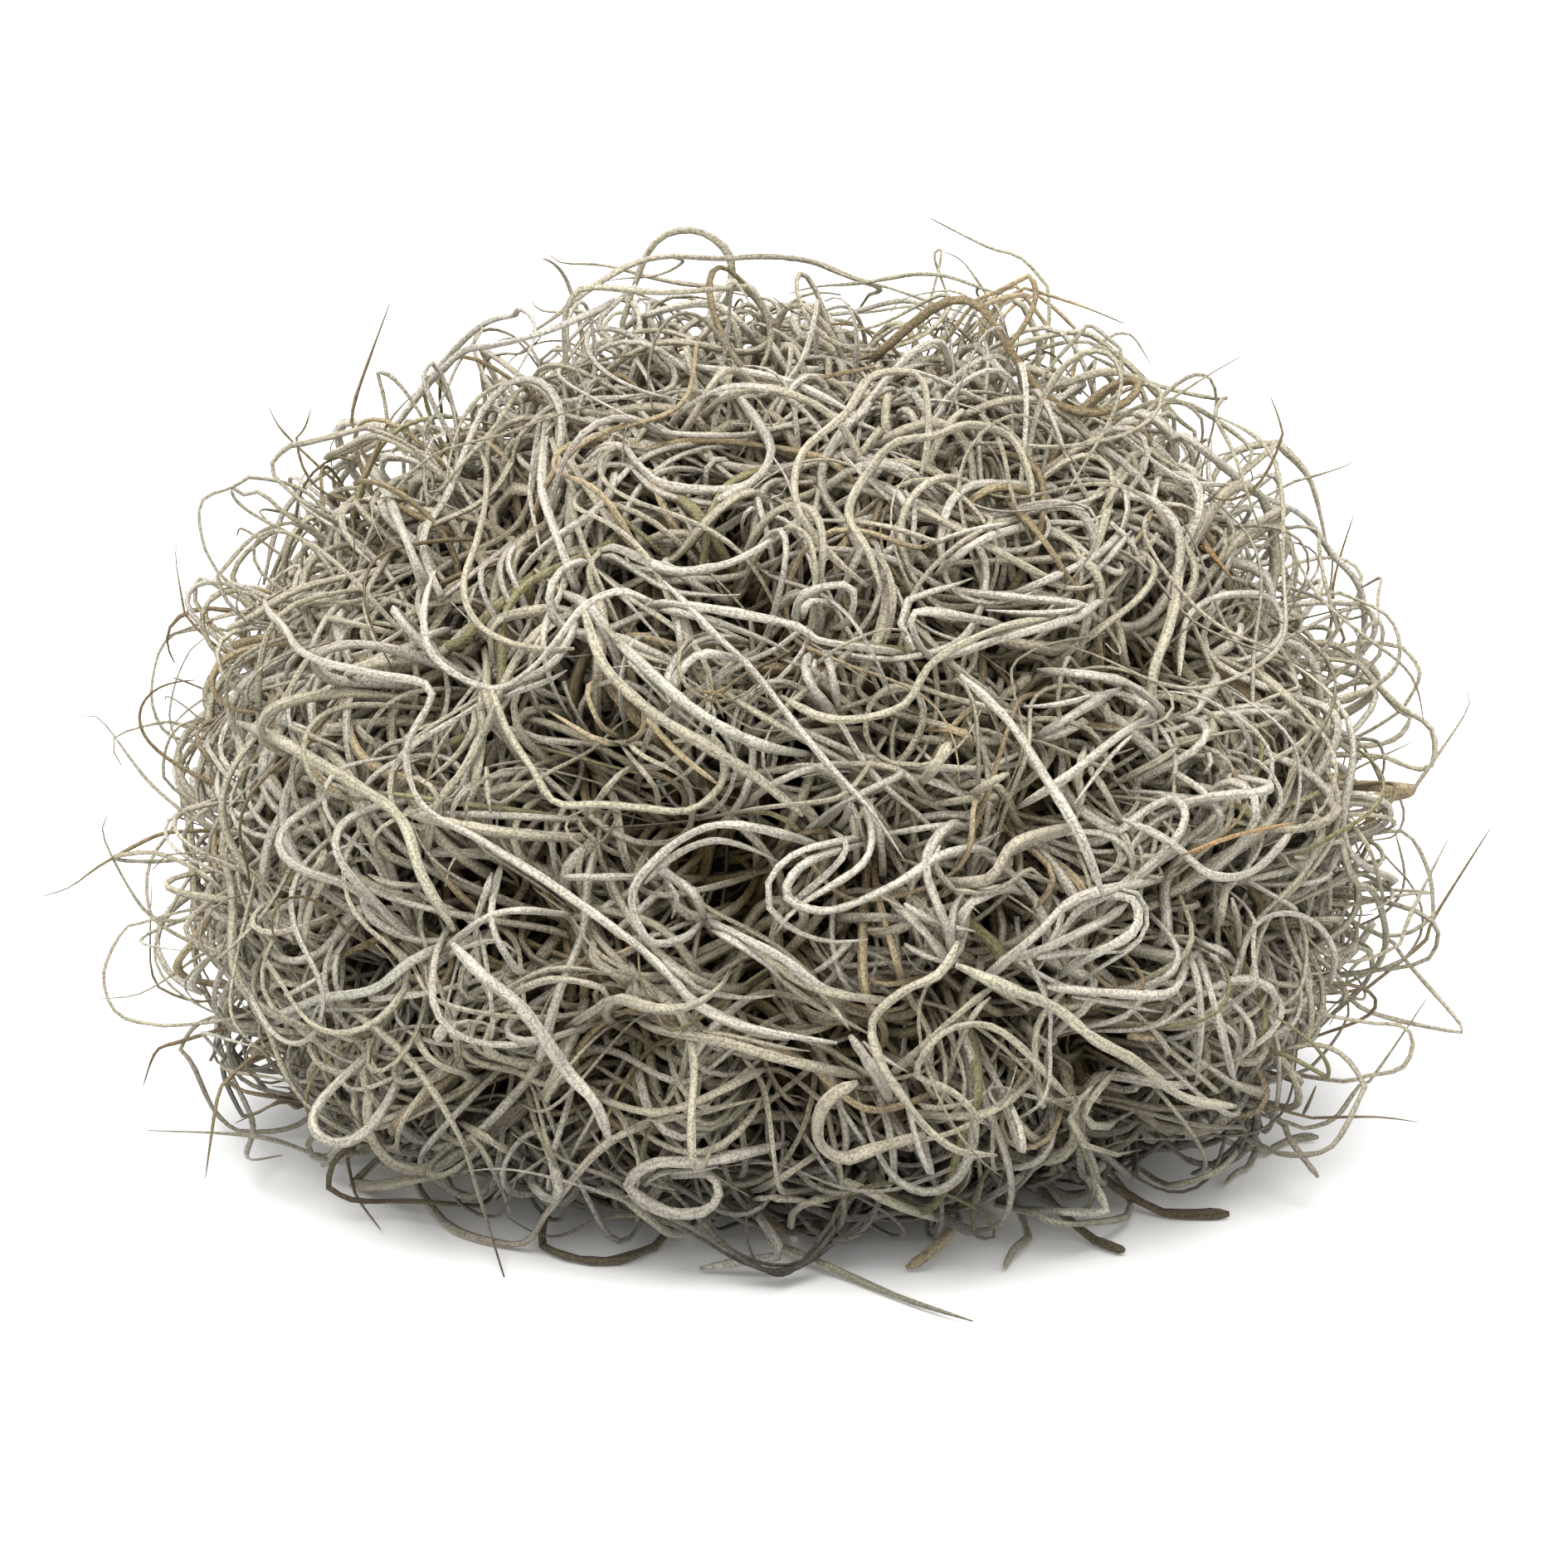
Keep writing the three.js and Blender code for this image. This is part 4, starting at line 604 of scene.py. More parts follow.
def dressStems():
    # every loose stem, leafy stem and dried bit of the frame, finer, along the node's own lines
    draw = np.random.default_rng(stemSet["seed"])
    slotTones = {"moss_pale": "light", "moss_dull": "grey", "moss_green": "green", "moss_dry": "orange"}
    slotOf = {part["node"]: part["material_slot"] for part in frame["record"]["subparts"]}
    for node in sorted(frame["nodes"]):
        if node == "moss_tangle":
            continue
        batch = StrandBatch()
        kind = node.split("_")[0]
        for line, radius, tipStart, tipEnd in stemLines(node):
            width = 2 * radius / stemSet["corners"] * stemSet["slim"][kind]
            tone = "tan" if node in ("dry_bit_middle", "dry_bit_top") else slotTones[slotOf[node]]
            if tone == "light" and draw.random() < stemSet["greyed"]:
                tone = "grey"
            addLine(batch, line, width, tone, draw, tipStart, tipEnd, stemSet["wave"][kind])
        makePiece(strandMesh("fine_" + node, batch), mossSkin, node)
    print("loose stems ready")


dressStems()


# tone, width, ends (r runs back into the bunch, b cut blunt, t pointed tip), and the way it takes,
# in millimetres across and up from the heart, from the deepest to the topmost
frontStrands = [
    ("grey", 0.9, "rr", [(19.4, 51), (20.4, 54.6), (22.4, 54.8), (24.2, 51)]),
    ("brown", 0.5, "tr", [(-38.4, 54.8), (-41.6, 46), (-42.1, 43.2)]),
    ("brown", 0.4, "tr", [(-50.3, 45.2), (-49.2, 43), (-47.8, 41.4)]),
    ("brown", 0.4, "tr", [(-46, 44.6), (-46.6, 42.8), (-47.4, 41.8)]),
    ("grey", 0.7, "rr", [(-40.8, 42.8), (-46, 41.4), (-48.4, 40.8), (-49.8, 38.6), (-46.8, 35.6),
        (-42.6, 33)]),
    ("grey", 0.5, "rr", [(-52, 38), (-53.6, 37), (-56.6, 35.6), (-56.4, 31.6), (-55, 28.8)]),
    ("grey", 0.6, "rr", [(-53.6, 37), (-52.6, 36.3), (-50.8, 36.5), (-48.4, 34.4), (-45.6, 32.8)]),
    ("grey", 0.6, "rr", [(-55, 28.4), (-51.6, 32.2), (-48, 33.6), (-45.6, 32.4)]),
    ("grey", 0.7, "rr", [(-53.6, 28.4), (-52.6, 30.4), (-49.2, 33), (-48.2, 32.4), (-49.6, 28.8)]),
    ("brown", 0.4, "tr", [(-59, 31.6), (-59, 29.6), (-58.2, 24.8)]),
    ("grey", 0.6, "rr", [(-57.2, 26), (-56.8, 28.2), (-54, 26.8)]),
    ("grey", 0.6, "rr", [(-39.6, 48), (-39, 45.6), (-38.7, 43.6)]),
    ("light", 1.3, "rr", [(-42.2, 40.8), (-38.8, 36.5), (-34.4, 25.6)]),
    ("grey", 1.0, "rr", [(-6.4, 54.4), (-5.6, 56), (-5.8, 59.6), (-9.2, 61.8), (-13.2, 60.2),
        (-16, 52.8)]),
    ("grey", 0.7, "tr", [(-23, 59.4), (-21.6, 58.6), (-17.6, 58.4), (-11.2, 56.8), (-4, 56)]),
    ("grey", 0.8, "rr", [(-21.4, 54), (-19.6, 56.2), (-12, 55.8), (-4, 56.4)]),
    ("grey", 0.6, "tr", [(-24.8, 55), (-23.6, 54), (-20, 54)]),
    ("grey", 1.0, "rr", [(-29.6, 50.4), (-27.2, 48.8), (-23.2, 45.6)]),
    ("light", 1.0, "rr", [(-3.4, 48.4), (3.8, 48.4), (5.8, 49.8)]),
    ("light", 1.0, "rr", [(-16.7, 51.4), (-14.1, 53.4), (-7.4, 54.7), (-3.4, 51.4), (-3.4, 49.4)]),
    ("light", 1.3, "rb", [(-11.4, 48.4), (-6.8, 47.8), (-2.2, 42.1), (-1.8, 39.8), (-3.1, 37.8),
        (-6.8, 35.8)]),
    ("light", 1.1, "rr", [(-20.4, 38.8), (-18.1, 40.8), (-15.8, 40.8), (-14.1, 38.8), (-11.4, 37.1),
        (-4.8, 37), (0.6, 39.8)]),
    ("light", 1.0, "rr", [(7.6, 35.2), (9.2, 36.8), (10.8, 36.2), (11.4, 34.6), (10.4, 33),
        (9.4, 29.2)]),
    ("light", 1.1, "rr", [(-18.7, 27.5), (-18.4, 30.5), (-16.7, 31.2), (-12.4, 29.3), (-9.4, 28.9),
        (-3.8, 30.5), (4.5, 36.2)]),
    ("grey", 1.0, "rr", [(-21.4, 44.1), (-17, 42.5), (-12.7, 40.8)]),
    ("light", 1.2, "rr", [(-22.7, 48.1), (-23.7, 38.2), (-23, 34.2), (-19.7, 25.5)]),
    ("grey", 1.0, "rr", [(-22, 44.1), (-21.7, 40.8), (-17, 33.5), (-13.8, 30.8)]),
    ("grey", 0.6, "tr", [(13.6, 63), (19.2, 60.2), (22.4, 59.2), (25, 56.4)]),
    ("grey", 0.4, "rr", [(14.6, 60), (14.1, 59.2), (15.2, 56)]),
    ("grey", 0.5, "tr", [(14.8, 59.8), (16.8, 58.8), (19, 55.8)]),
    ("tan", 0.8, "rr", [(18.4, 55.2), (20.4, 56), (23.2, 57.4)]),
    ("grey", 0.5, "tr", [(9.8, 53.8), (11.2, 55.2), (15.6, 56), (17.6, 55), (18.4, 53.2), (21, 51)]),
    ("grey", 0.4, "rr", [(12.6, 52.2), (12.6, 53.8), (15.2, 54.6)]),
    ("grey", 0.6, "rr", [(19.2, 55.2), (20.4, 54), (21.2, 51)]),
    ("tan", 0.7, "rr", [(22, 56.4), (23.6, 54.4), (25.4, 52)]),
    ("tan", 0.6, "rt", [(22.8, 56.2), (28, 54.6), (32.4, 52.8)]),
    ("tan", 0.6, "rr", [(24, 55.6), (26, 54), (27.6, 52.4)]),
    ("light", 1.0, "rr", [(8, 47.2), (12.8, 50.4), (15.2, 50.4), (16.6, 48)]),
    ("grey", 1.0, "rr", [(16.8, 48), (18.8, 49.6), (27.6, 52), (32, 49.6), (36.4, 45.2)]),
    ("grey", 0.6, "rr", [(28.4, 52), (29.2, 52.6), (32, 50.4)]),
    ("grey", 0.5, "rt", [(31.6, 51.8), (33.2, 51.6), (35, 48.8)]),
    ("grey", 0.5, "tr", [(43.6, 49.6), (40.8, 48), (36.4, 45.2)]),
    ("grey", 0.7, "rr", [(36.4, 45.2), (39.2, 44.8), (44.6, 40.8), (43.6, 38.4)]),
    ("green", 0.7, "rr", [(36.4, 45.2), (37.6, 43.6), (39.2, 42.4)]),
    ("light", 1.1, "rr", [(36.4, 40.4), (38, 42), (43.2, 38)]),
    ("green", 0.6, "rr", [(29.6, 49.2), (29.6, 46.4), (31.2, 40.4), (32, 39.6)]),
    ("grey", 1.0, "rr", [(33.2, 40), (28.4, 34.8), (27.2, 32.8)]),
    ("light", 1.0, "rr", [(34, 35.2), (29.6, 30.4), (20, 26)]),
    ("light", 0.9, "rr", [(34, 35.2), (32.6, 29.6), (31.6, 27.2)]),
    ("brown", 0.4, "tr", [(46.4, 46), (47.2, 44), (47.7, 42.2)]),
    ("grey", 0.6, "rr", [(43.6, 38.4), (45.6, 40), (47.6, 41.6)]),
    ("grey", 1.0, "rt", [(47.2, 41.2), (50.4, 37.6), (52.2, 30)]),
    ("grey", 0.5, "tr", [(54.5, 39.4), (52.4, 38.6), (48.8, 37.6)]),
    ("brown", 0.5, "tr", [(54.6, 34.6), (52.5, 27.2), (53.6, 22.4)]),
    ("grey", 0.6, "rr", [(51.2, 32.8), (51.4, 29.6), (53, 23.2)]),
    ("grey", 0.6, "rr", [(53.2, 26.8), (58, 24.4), (58.8, 20), (55.2, 17), (53, 16.2)]),
    ("grey", 0.6, "rr", [(59.2, 21.6), (60.6, 20), (60.8, 18.4), (59.2, 15.6)]),
    ("grey", 0.6, "rr", [(54.8, 20.8), (55.2, 22.8), (56.4, 24), (57.4, 23.6), (57, 20.8)]),
    ("grey", 0.9, "rr", [(52, 22), (54.4, 20.8), (58.4, 16), (60, 14.8)]),
    ("orange", 0.8, "rr", [(39.2, 32.4), (41.2, 32.6), (42.8, 33)]),
    ("tan", 0.8, "rr", [(34, 35.6), (36.8, 34.4), (39.2, 32.8)]),
    ("grey", 1.1, "rr", [(40, 22), (44, 20), (50.4, 14.8), (55.2, 10.8)]),
    ("grey", 0.7, "rt", [(-50.8, 25.2), (-54.4, 24.6), (-60, 22.6)]),
    ("grey", 0.5, "rr", [(-59.2, 22.9), (-60.7, 21.1), (-61.4, 16.5), (-59.7, 13.1), (-55.6, 12.4)]),
    ("grey", 0.6, "tr", [(-67.9, 15), (-66.1, 14.4), (-61.8, 8.8), (-57.7, 5.2)]),
    ("grey", 0.6, "rt", [(-58.2, 14), (-60, 14.4), (-64.3, 13.3), (-65.2, 12.1), (-64.3, 10.2)]),
    ("green", 0.6, "tr", [(-65.7, 5.3), (-65.9, 2.9), (-61.8, -4.1), (-57.7, -4.7)]),
    ("brown", 0.6, "tr", [(-71.8, -2.4), (-69.2, -1.5), (-66.1, 0.7), (-61, 3.4), (-58.6, 3.8)]),
    ("grey", 0.6, "rr", [(-65, 1.4), (-60.7, 1.7), (-55.4, -1), (-52.5, -4.6)]),
    ("grey", 0.5, "rr", [(-62.4, -5), (-64.1, -5.7), (-66, -9.9), (-64.6, -13.8), (-60.2, -14.9)]),
    ("brown", 0.4, "tr", [(-61.4, -1.4), (-61.5, -8.9), (-60.7, -11.2)]),
    ("grey", 0.5, "tr", [(-66.5, -12.3), (-62.2, -11.7), (-56.9, -8.2)]),
    ("grey", 0.9, "rr", [(-49, 25.4), (-41.2, 23.7), (-36.1, 22.2)]),
    ("light", 1.0, "rr", [(-43.5, 20.1), (-40.7, 20.3), (-36.1, 21.8), (-34.3, 22.9), (-32, 23.4)]),
    ("grey", 1.0, "rr", [(-43, 0.6), (-39.2, -1.8), (-34.3, -3)]),
    ("grey", 1.1, "rb", [(-44.1, 2.9), (-44.1, 0.6), (-46.1, -3.5), (-46.6, -6.9)]),
    ("light", 1.3, "br", [(-49.7, -14.1), (-45, -12.3), (-39.9, -11.4), (-36.3, -8.7), (-32, -6.6)]),
    ("grey", 1.1, "rr", [(-43.5, 15.9), (-39.4, 11.8), (-37.7, 11.8)]),
    ("light", 1.0, "rr", [(-50.2, 14.6), (-46.1, 16.9), (-44.3, 16.7)]),
    ("brown", 0.5, "tr", [(-62.2, -20.7), (-61, -17.4), (-59.2, -16.6)]),
    ("grey", 0.7, "rr", [(-58.6, -17.2), (-57.4, -18.7), (-55.4, -23), (-53, -25.3)]),
    ("grey", 0.6, "tr", [(-61.8, -25), (-51, -25.6), (-44.8, -27.7)]),
    ("brown", 0.5, "rt", [(-54.6, -20.7), (-55.2, -22.8), (-56.2, -29.6)]),
    ("brown", 0.6, "tr", [(-53.3, -24.3), (-49, -22.3), (-47.4, -22.8)]),
    ("brown", 0.6, "rr", [(-54.1, -20.2), (-52.2, -21.3), (-46.9, -22.1)]),
    ("grey", 1.0, "rr", [(-51.8, -10.7), (-51.5, -13), (-49.4, -16.2), (-47.7, -16.6)]),
    ("grey", 1.0, "rr", [(-46.3, -26.4), (-45.6, -28.5), (-44.8, -30.2)]),
    ("light", 1.1, "rr", [(-44.8, -28.2), (-41.8, -25.4), (-36.1, -23), (-33.6, -21.6)]),
    ("brown", 0.6, "rt", [(-42.5, -27.7), (-41.5, -31.8), (-39.3, -35)]),
    ("dark", 0.7, "rr", [(-44.3, -30.5), (-41.8, -31.7), (-36.1, -31.8), (-29.8, -32.3)]),
    ("grey", 1.6, "rr", [(-41.8, -30.2), (-39, -30.2), (-31, -28.7)]),
    ("grey", 1.0, "rt", [(-46.1, -11), (-41.2, -14.1), (-36.1, -18.7), (-31.8, -25.4), (-30, -30.7),
        (-27.4, -39.1)]),
    ("grey", 1.0, "rr", [(-35.9, -28.7), (-35.4, -31), (-31.8, -34.9), (-25.6, -35.9), (-23, -32.6),
        (-17.9, -26.6), (-11.8, -23.6)]),
    ("grey", 1.1, "rr", [(-18.5, -21.8), (-11.8, -23.2), (-2.1, -19)]),
    ("light", 1.4, "rr", [(0, -26.2), (-8, -28), (-12.8, -28.2), (-15.4, -30.4), (-12, -32.8),
        (-8.4, -32.9), (-6.8, -31.6), (-7, -29.9), (-8.4, -29.1), (-13.6, -29.6)]),
    ("light", 1.3, "rr", [(-24.6, -25.4), (-23.6, -25.6), (-22.1, -30.7), (-23, -31.7), (-24.9, -29.8),
        (-23.4, -28.5)]),
    ("grey", 1.4, "rr", [(-35.1, -26.9), (-33.4, -26.6), (-31.5, -26.4)]),
    ("grey", 1.1, "rr", [(-32.3, -23.8), (-27.2, -26.9), (-24.6, -28.2)]),
    ("grey", 1.0, "rr", [(-28.7, -14.3), (-28.5, -13), (-23.4, -10.5), (-18.7, -11), (-17.4, -12.3),
        (-21.5, -15.1)]),
    ("light", 1.3, "rb", [(-3.8, -32), (-0.9, -36.2), (-1.5, -37.4), (-3.4, -37.5), (-8.5, -38.3)]),
    ("grey", 1.1, "rr", [(-19, -30.7), (-17, -30.7), (-11.5, -34.9), (-9.2, -34.3)]),
    ("dark", 1.1, "rr", [(-23.6, -36.2), (-21.5, -37.4), (-17.4, -37.7), (-12.8, -36.2)]),
    ("light", 1.3, "rr", [(-14.4, -7.4), (-10.8, -10.7), (-9.2, -12.6), (-4.6, -14.9), (0, -16.2)]),
    ("grey", 1.2, "rr", [(-14.9, -14.1), (-12.3, -15.4), (-5.9, -16.6), (0, -18.3), (7.5, -19.8)]),
    ("grey", 1.1, "rr", [(-15.4, -8.5), (-14.7, -10.7), (-14.4, -13.4)]),
    ("grey", 1.1, "rr", [(-4, -7.2), (2.6, -11.3), (10.3, -12.6)]),
    ("grey", 0.8, "rt", [(2.6, -11.3), (4.2, -13), (6, -15.4)]),
    ("light", 1.3, "br", [(6, -15.9), (8.6, -19.8), (10.1, -22.8)]),
    ("grey", 1.0, "rr", [(20.1, -11), (17.8, -12.6), (9.6, -19.8)]),
    ("grey", 1.0, "rr", [(11.9, -22.8), (13.9, -23.6), (19, -23.4), (23, -20.7), (23.6, -19.2)]),
    ("grey", 1.0, "rr", [(-4, -31), (-1.4, -30), (3.4, -26.9)]),
    ("grey", 1.1, "rt", [(-1.6, -35.8), (6.8, -39.4), (11.9, -41.5), (17.8, -43.4)]),
    ("tan", 1.3, "rb", [(16.5, -33.8), (13.4, -36.9), (11.4, -38.2)]),
    ("grey", 1.1, "rb", [(23.2, -35.4), (21.7, -36.6), (20.9, -38.2)]),
    ("light", 1.1, "rr", [(29, -26.9), (28.6, -28.7), (30.6, -32.3), (29.4, -33), (21.7, -32.6)]),
    ("grey", 1.0, "rr", [(32.6, -31), (33, -32.3), (31.9, -33.6), (26.2, -34), (23.7, -33),
        (20.3, -32.3)]),
    ("grey", 1.2, "rr", [(3.2, -29.4), (6.2, -30.2), (11.4, -32.6), (16.5, -34.1)]),
    ("grey", 1.0, "rr", [(0.6, -35.4), (0.3, -34.1), (1.1, -32.3), (6.2, -31)]),
    ("light", 1.3, "br", [(25, -11.2), (35.3, -12), (37.6, -10.9), (39, -6.9)]),
    ("light", 1.0, "rr", [(39, -6.6), (41.2, -13.2), (43.2, -21.1), (44.2, -23.1)]),
    ("grey", 1.0, "rr", [(31.6, -19), (28.8, -22.8), (29, -24.3), (30.6, -24.7), (31.9, -23.8)]),
    ("grey", 0.6, "tr", [(65.4, 17.6), (65.4, 15.4), (60.5, 8.2)]),
    ("grey", 0.8, "rr", [(55, 20), (58.6, 16.2), (62, 13.8), (62.2, 10.5), (60.7, 9.8), (57.6, 11)]),
    ("brown", 0.6, "tr", [(59.9, 12.3), (55, 10), (53, 8.7), (51, 8.7), (49, 7.7)]),
    ("tan", 1.6, "rr", [(55, 8.2), (57.6, 8.1), (60.2, 7.9)]),
    ("grey", 0.6, "tr", [(63.8, 3.4), (60.2, -3.8), (59, -7)]),
    ("brown", 0.6, "tr", [(67.7, 4.1), (62.2, -4.6), (61.5, -6.6), (55.8, -11.3)]),
    ("grey", 0.6, "rr", [(56.6, 3.6), (59.7, 3.6), (61.8, -0.2), (62.2, -4.3)]),
    ("grey", 0.5, "rr", [(57.6, -2.6), (59.9, -2.2), (61.8, -2.1)]),
    ("grey", 0.6, "rr", [(58.4, -6.9), (59.9, -9), (64.7, -14.6), (64.4, -15.5), (56.1, -13.6),
        (53.3, -11.3)]),
    ("grey", 0.6, "tr", [(61.5, -12.4), (56.3, -20), (55, -20.8), (52.8, -23.8), (49.9, -24.8),
        (48.6, -24.4)]),
    ("grey", 0.6, "rr", [(56.6, -14.7), (59.2, -14.9), (60.3, -16.4), (59.2, -19), (55.6, -19.8),
        (53.8, -20.3), (49.9, -19.8)]),
    ("grey", 0.9, "rr", [(44.1, -8.5), (46.9, -10.8), (51, -10.8), (52.5, -9.8)]),
    ("light", 1.0, "rr", [(39, -6.6), (42.2, -7.9), (43, -9.2)]),
    ("grey", 1.0, "rr", [(42.2, -1), (41.8, -4.3), (40.7, -5.9)]),
    ("grey", 0.9, "rr", [(46.3, 2.3), (49.9, -0.2), (51.8, -0.2)]),
    ("grey", 0.9, "rr", [(52.2, 7.7), (54.3, -0.5), (56.6, -2.1), (57.7, -6.4), (56.6, -9.5)]),
    ("grey", 0.6, "rr", [(53.3, 5.7), (56.1, 2.1), (57.4, -2.6)]),
    ("brown", 0.5, "tr", [(60.7, -24.2), (56.6, -23.7), (50.5, -23.8)]),
    ("grey", 0.8, "rr", [(55.6, -20.8), (52.5, -26.5), (48.4, -27.4), (46.1, -26.7)]),
    ("grey", 1.0, "rb", [(45.4, -26.5), (44.3, -28.7), (42.2, -32.6)]),
    ("grey", 1.0, "rb", [(46.1, -27.8), (47.9, -28.5), (51, -30.3)]),
    ("grey", 0.9, "br", [(51.1, -29.5), (48.6, -26.2), (47.9, -24.6)]),
    ("dark", 2.1, "rb", [(36.1, -32.9), (38.2, -33.4), (42.5, -34.4)]),
    ("brown", 0.5, "tr", [(50.9, -20.7), (50.2, -22.3), (49.6, -23.6)]),
    ("grey", 1.0, "rr", [(44.1, -25.4), (41.8, -28.7), (37.1, -30.3), (35.4, -29.8)]),
    ("dark", 1.4, "rb", [(29.6, -35.6), (32.4, -36.6)]),
    ("light", 1.2, "rr", [(-8, -4.4), (-10, -6.4), (-13.6, -6.6), (-14.7, -1.2), (-7.2, 4.4),
        (3.5, 2.4)]),
    ("light", 1.1, "tr", [(-1.4, -6.4), (0.9, -3.5), (6.5, 0.1), (8, 2.4), (7.8, 5), (6.8, 6.4)]),
    ("light", 1.1, "rr", [(7.6, 2.8), (1.6, 0.8), (-0.2, -2.4), (4, -3.8), (10.4, -1.2), (14.8, 1.6),
        (18.4, 2.2), (20, 1.6)]),
    ("light", 1.2, "rr", [(-12.8, 0.4), (-9.2, -2), (-8, -4.8)]),
    ("light", 1.2, "rr", [(-8.1, -4.6), (-0.8, -8.2), (3.2, -11.2), (7.1, -12.2)]),
    ("light", 1.3, "rr", [(16.8, 5), (15.1, 4.1), (13.6, 2), (13.4, -0.6), (15.4, -5.8), (15.8, -8.9)]),
    ("light", 1.3, "rr", [(9.8, -2.9), (12.5, -5.2), (15.8, -9.2)]),
    ("light", 1.3, "rr", [(16.1, -8), (17.2, -3.6), (20.7, -1.6), (22.7, -2.2)]),
    ("light", 1.1, "rr", [(24, 33.5), (18.4, 31.8), (13.8, 28.2)]),
    ("light", 1.0, "rr", [(0.8, 23.2), (0.8, 25.2), (2, 27), (6, 27.5), (6, 24.4), (4, 23.2)]),
    ("light", 1.1, "rr", [(14.8, 20.6), (13.2, 21), (11.8, 24), (13.2, 25), (20.8, 23.8)]),
    ("light", 1.1, "rr", [(-14.4, 25.2), (-11.4, 25.8), (0.2, 23.8), (3.2, 22.2), (11.1, 21)]),
    ("light", 1.2, "rr", [(-10.8, 14), (-10.6, 16), (-11, 18), (-8.4, 20.9), (-2.8, 20)]),
    ("light", 1.3, "rr", [(2.8, 21.2), (1.8, 20.4), (2, 18.4), (4.4, 15)]),
    ("light", 1.1, "rr", [(2.9, 21.5), (4, 20), (4.8, 15.6)]),
    ("light", 1.0, "rr", [(-28.8, 17), (-22.8, 20), (-20, 24.8)]),
    ("grey", 1.1, "rr", [(-29.8, 16.8), (-29.6, 13.6), (-31.2, 10), (-34, 6), (-34.8, 1.6)]),
    ("grey", 1.0, "rr", [(-29.2, 14.4), (-30, 9.2), (-31.2, 4.8)]),
    ("light", 1.4, "rr", [(-17.6, 23.2), (-9.6, 16), (-3.2, 12.4), (2.4, 11.2)]),
    ("tan", 0.7, "rr", [(-16, 12.8), (-18, 14), (-19.4, 17.2), (-18.4, 18.6)]),
    ("tan", 0.7, "rt", [(-15.6, 12.4), (-14, 13.6), (-14, 16.4)]),
    ("grey", 0.8, "rr", [(-16, 12), (-12.8, 8), (-12.6, 6)]),
    ("grey", 0.9, "rr", [(-14.4, 10.2), (-16.4, 9.2), (-19.6, 5.2)]),
    ("brown", 0.5, "tt", [(-9.8, 17.8), (-7.2, 17.2), (-5.2, 18.2)]),
    ("brown", 0.5, "tt", [(-7.8, 19.2), (-7.2, 17.2), (-6.2, 14.7)]),
    ("brown", 0.5, "tt", [(-8.6, 15.8), (-7.2, 17.2), (-5.6, 16.3)]),
    ("light", 1.0, "rr", [(-33.6, -8), (-28, -4), (-20.8, -4.2)]),
    ("light", 1.0, "rr", [(-27.6, 0.8), (-28.6, -4.8), (-26.4, -9.2), (-24, -10.4)]),
    ("light", 1.0, "rr", [(32, 26.4), (29.6, 25.8), (27.6, 24.4), (20, 22.2), (14.4, 20.2)]),
    ("light", 1.2, "rr", [(32, 17.6), (29.6, 16.4), (23.6, 12.6)]),
    ("light", 1.1, "rr", [(36, 14.4), (33.6, 14.2), (26.4, 8.8), (22, 6)]),
    ("light", 1.0, "rr", [(36, 14.4), (35.6, 16), (32, 18.4), (24, 19.4)]),
    ("grey", 1.4, "rr", [(14.4, -1), (19.2, -0.8), (22, 2.8), (28, 4.4)]),
    ("light", 1.1, "rr", [(20, -8.4), (23.2, -8), (30.4, -4.8), (32.8, -3)]),
    ("light", 1.2, "rr", [(27.2, -2.8), (31.6, -2.4), (33.6, -3.2), (33.2, -6), (28, -8.8),
        (26, -10.4)]),
    ("light", 1.2, "rr", [(36, -0.8), (28, -2.6), (23.6, -6.4), (18.6, -10.5)]),
    ("grey", 1.0, "rr", [(29.4, 12), (29.2, 9.6), (30.4, 8), (32.4, 4)]),
    ("grey", 1.3, "rb", [(12.8, 8.4), (14.4, 10.4), (15.6, 12.4)]),
    ("grey", 1.2, "rb", [(17.6, 7.2), (19.2, 8.4), (21.2, 9.4)]),
]

frontSet = {
    "deepest": -3.4 * mm,  # lift of the first strand; the lifts rise evenly to the last one's
    "topmost": 0.6 * mm,
    "dive": 7.5 * mm,  # how deep an end runs that goes back into the bunch,
    "diveShare": 0.16,  # over this share of the length,
    "divePower": 1.5,  # above 1, so that it bends down gently
    "wave": 0.5 * mm,
    "waveTurns": (4, 9),  # radians over the whole length
    "slim": 0.72,
    "widest": 1.05,
    "fewest": 8,
    "sides": 5,
    "rootRun": 9 * mm,
    "rootSteps": 8,
    "nearFloor": 3 * mm,
    "perPiece": 180,
    "half": (58 * mm, 54 * mm),  # half sizes of the outline, across and up
    "outlineFrom": 0.98,  # share of them past which a strand belongs to the outline,
    "looseFrom": 0.88,  # and from which it may lie nearer or further away,
    "deepSpread": 16 * mm,  # by this at most
    "smooth": 8,
    "tipShare": 0.45,
    "tip": 0.2,
    # share of the painted shade near the floor
    "shadeShare": 0.5,
    "seed": 17,
}

# places where the prominent stems lie deeper: across, up, how wide and how deep, in millimetres
lowPlaces = [
    (-5, 50, 14, 4.5), (42, 23, 8, 4), (36, 24, 6, 3), (48, -7, 6, 3.5), (-30, 37, 7, 4), (23, 39, 6, 3),
]


def rooted(path, ends):
    # an end that runs back into the bunch bends over towards the heart for the root run
    share = np.linspace(0, 1, frontSet["rootSteps"] + 1)[1:, None]
    for order, end in ((-1, ends[0]), (1, ends[1])):
        path = path[::order]
        if end == "r":
            onward, inward = unit(path[-1] - path[-3]), unit(heart - path[-1])
            bend = frontSet["rootRun"] * (onward * share * (1 - share) + inward * share)
            path = np.vstack([path, path[-1] + bend])
        path = path[::order]
    return path


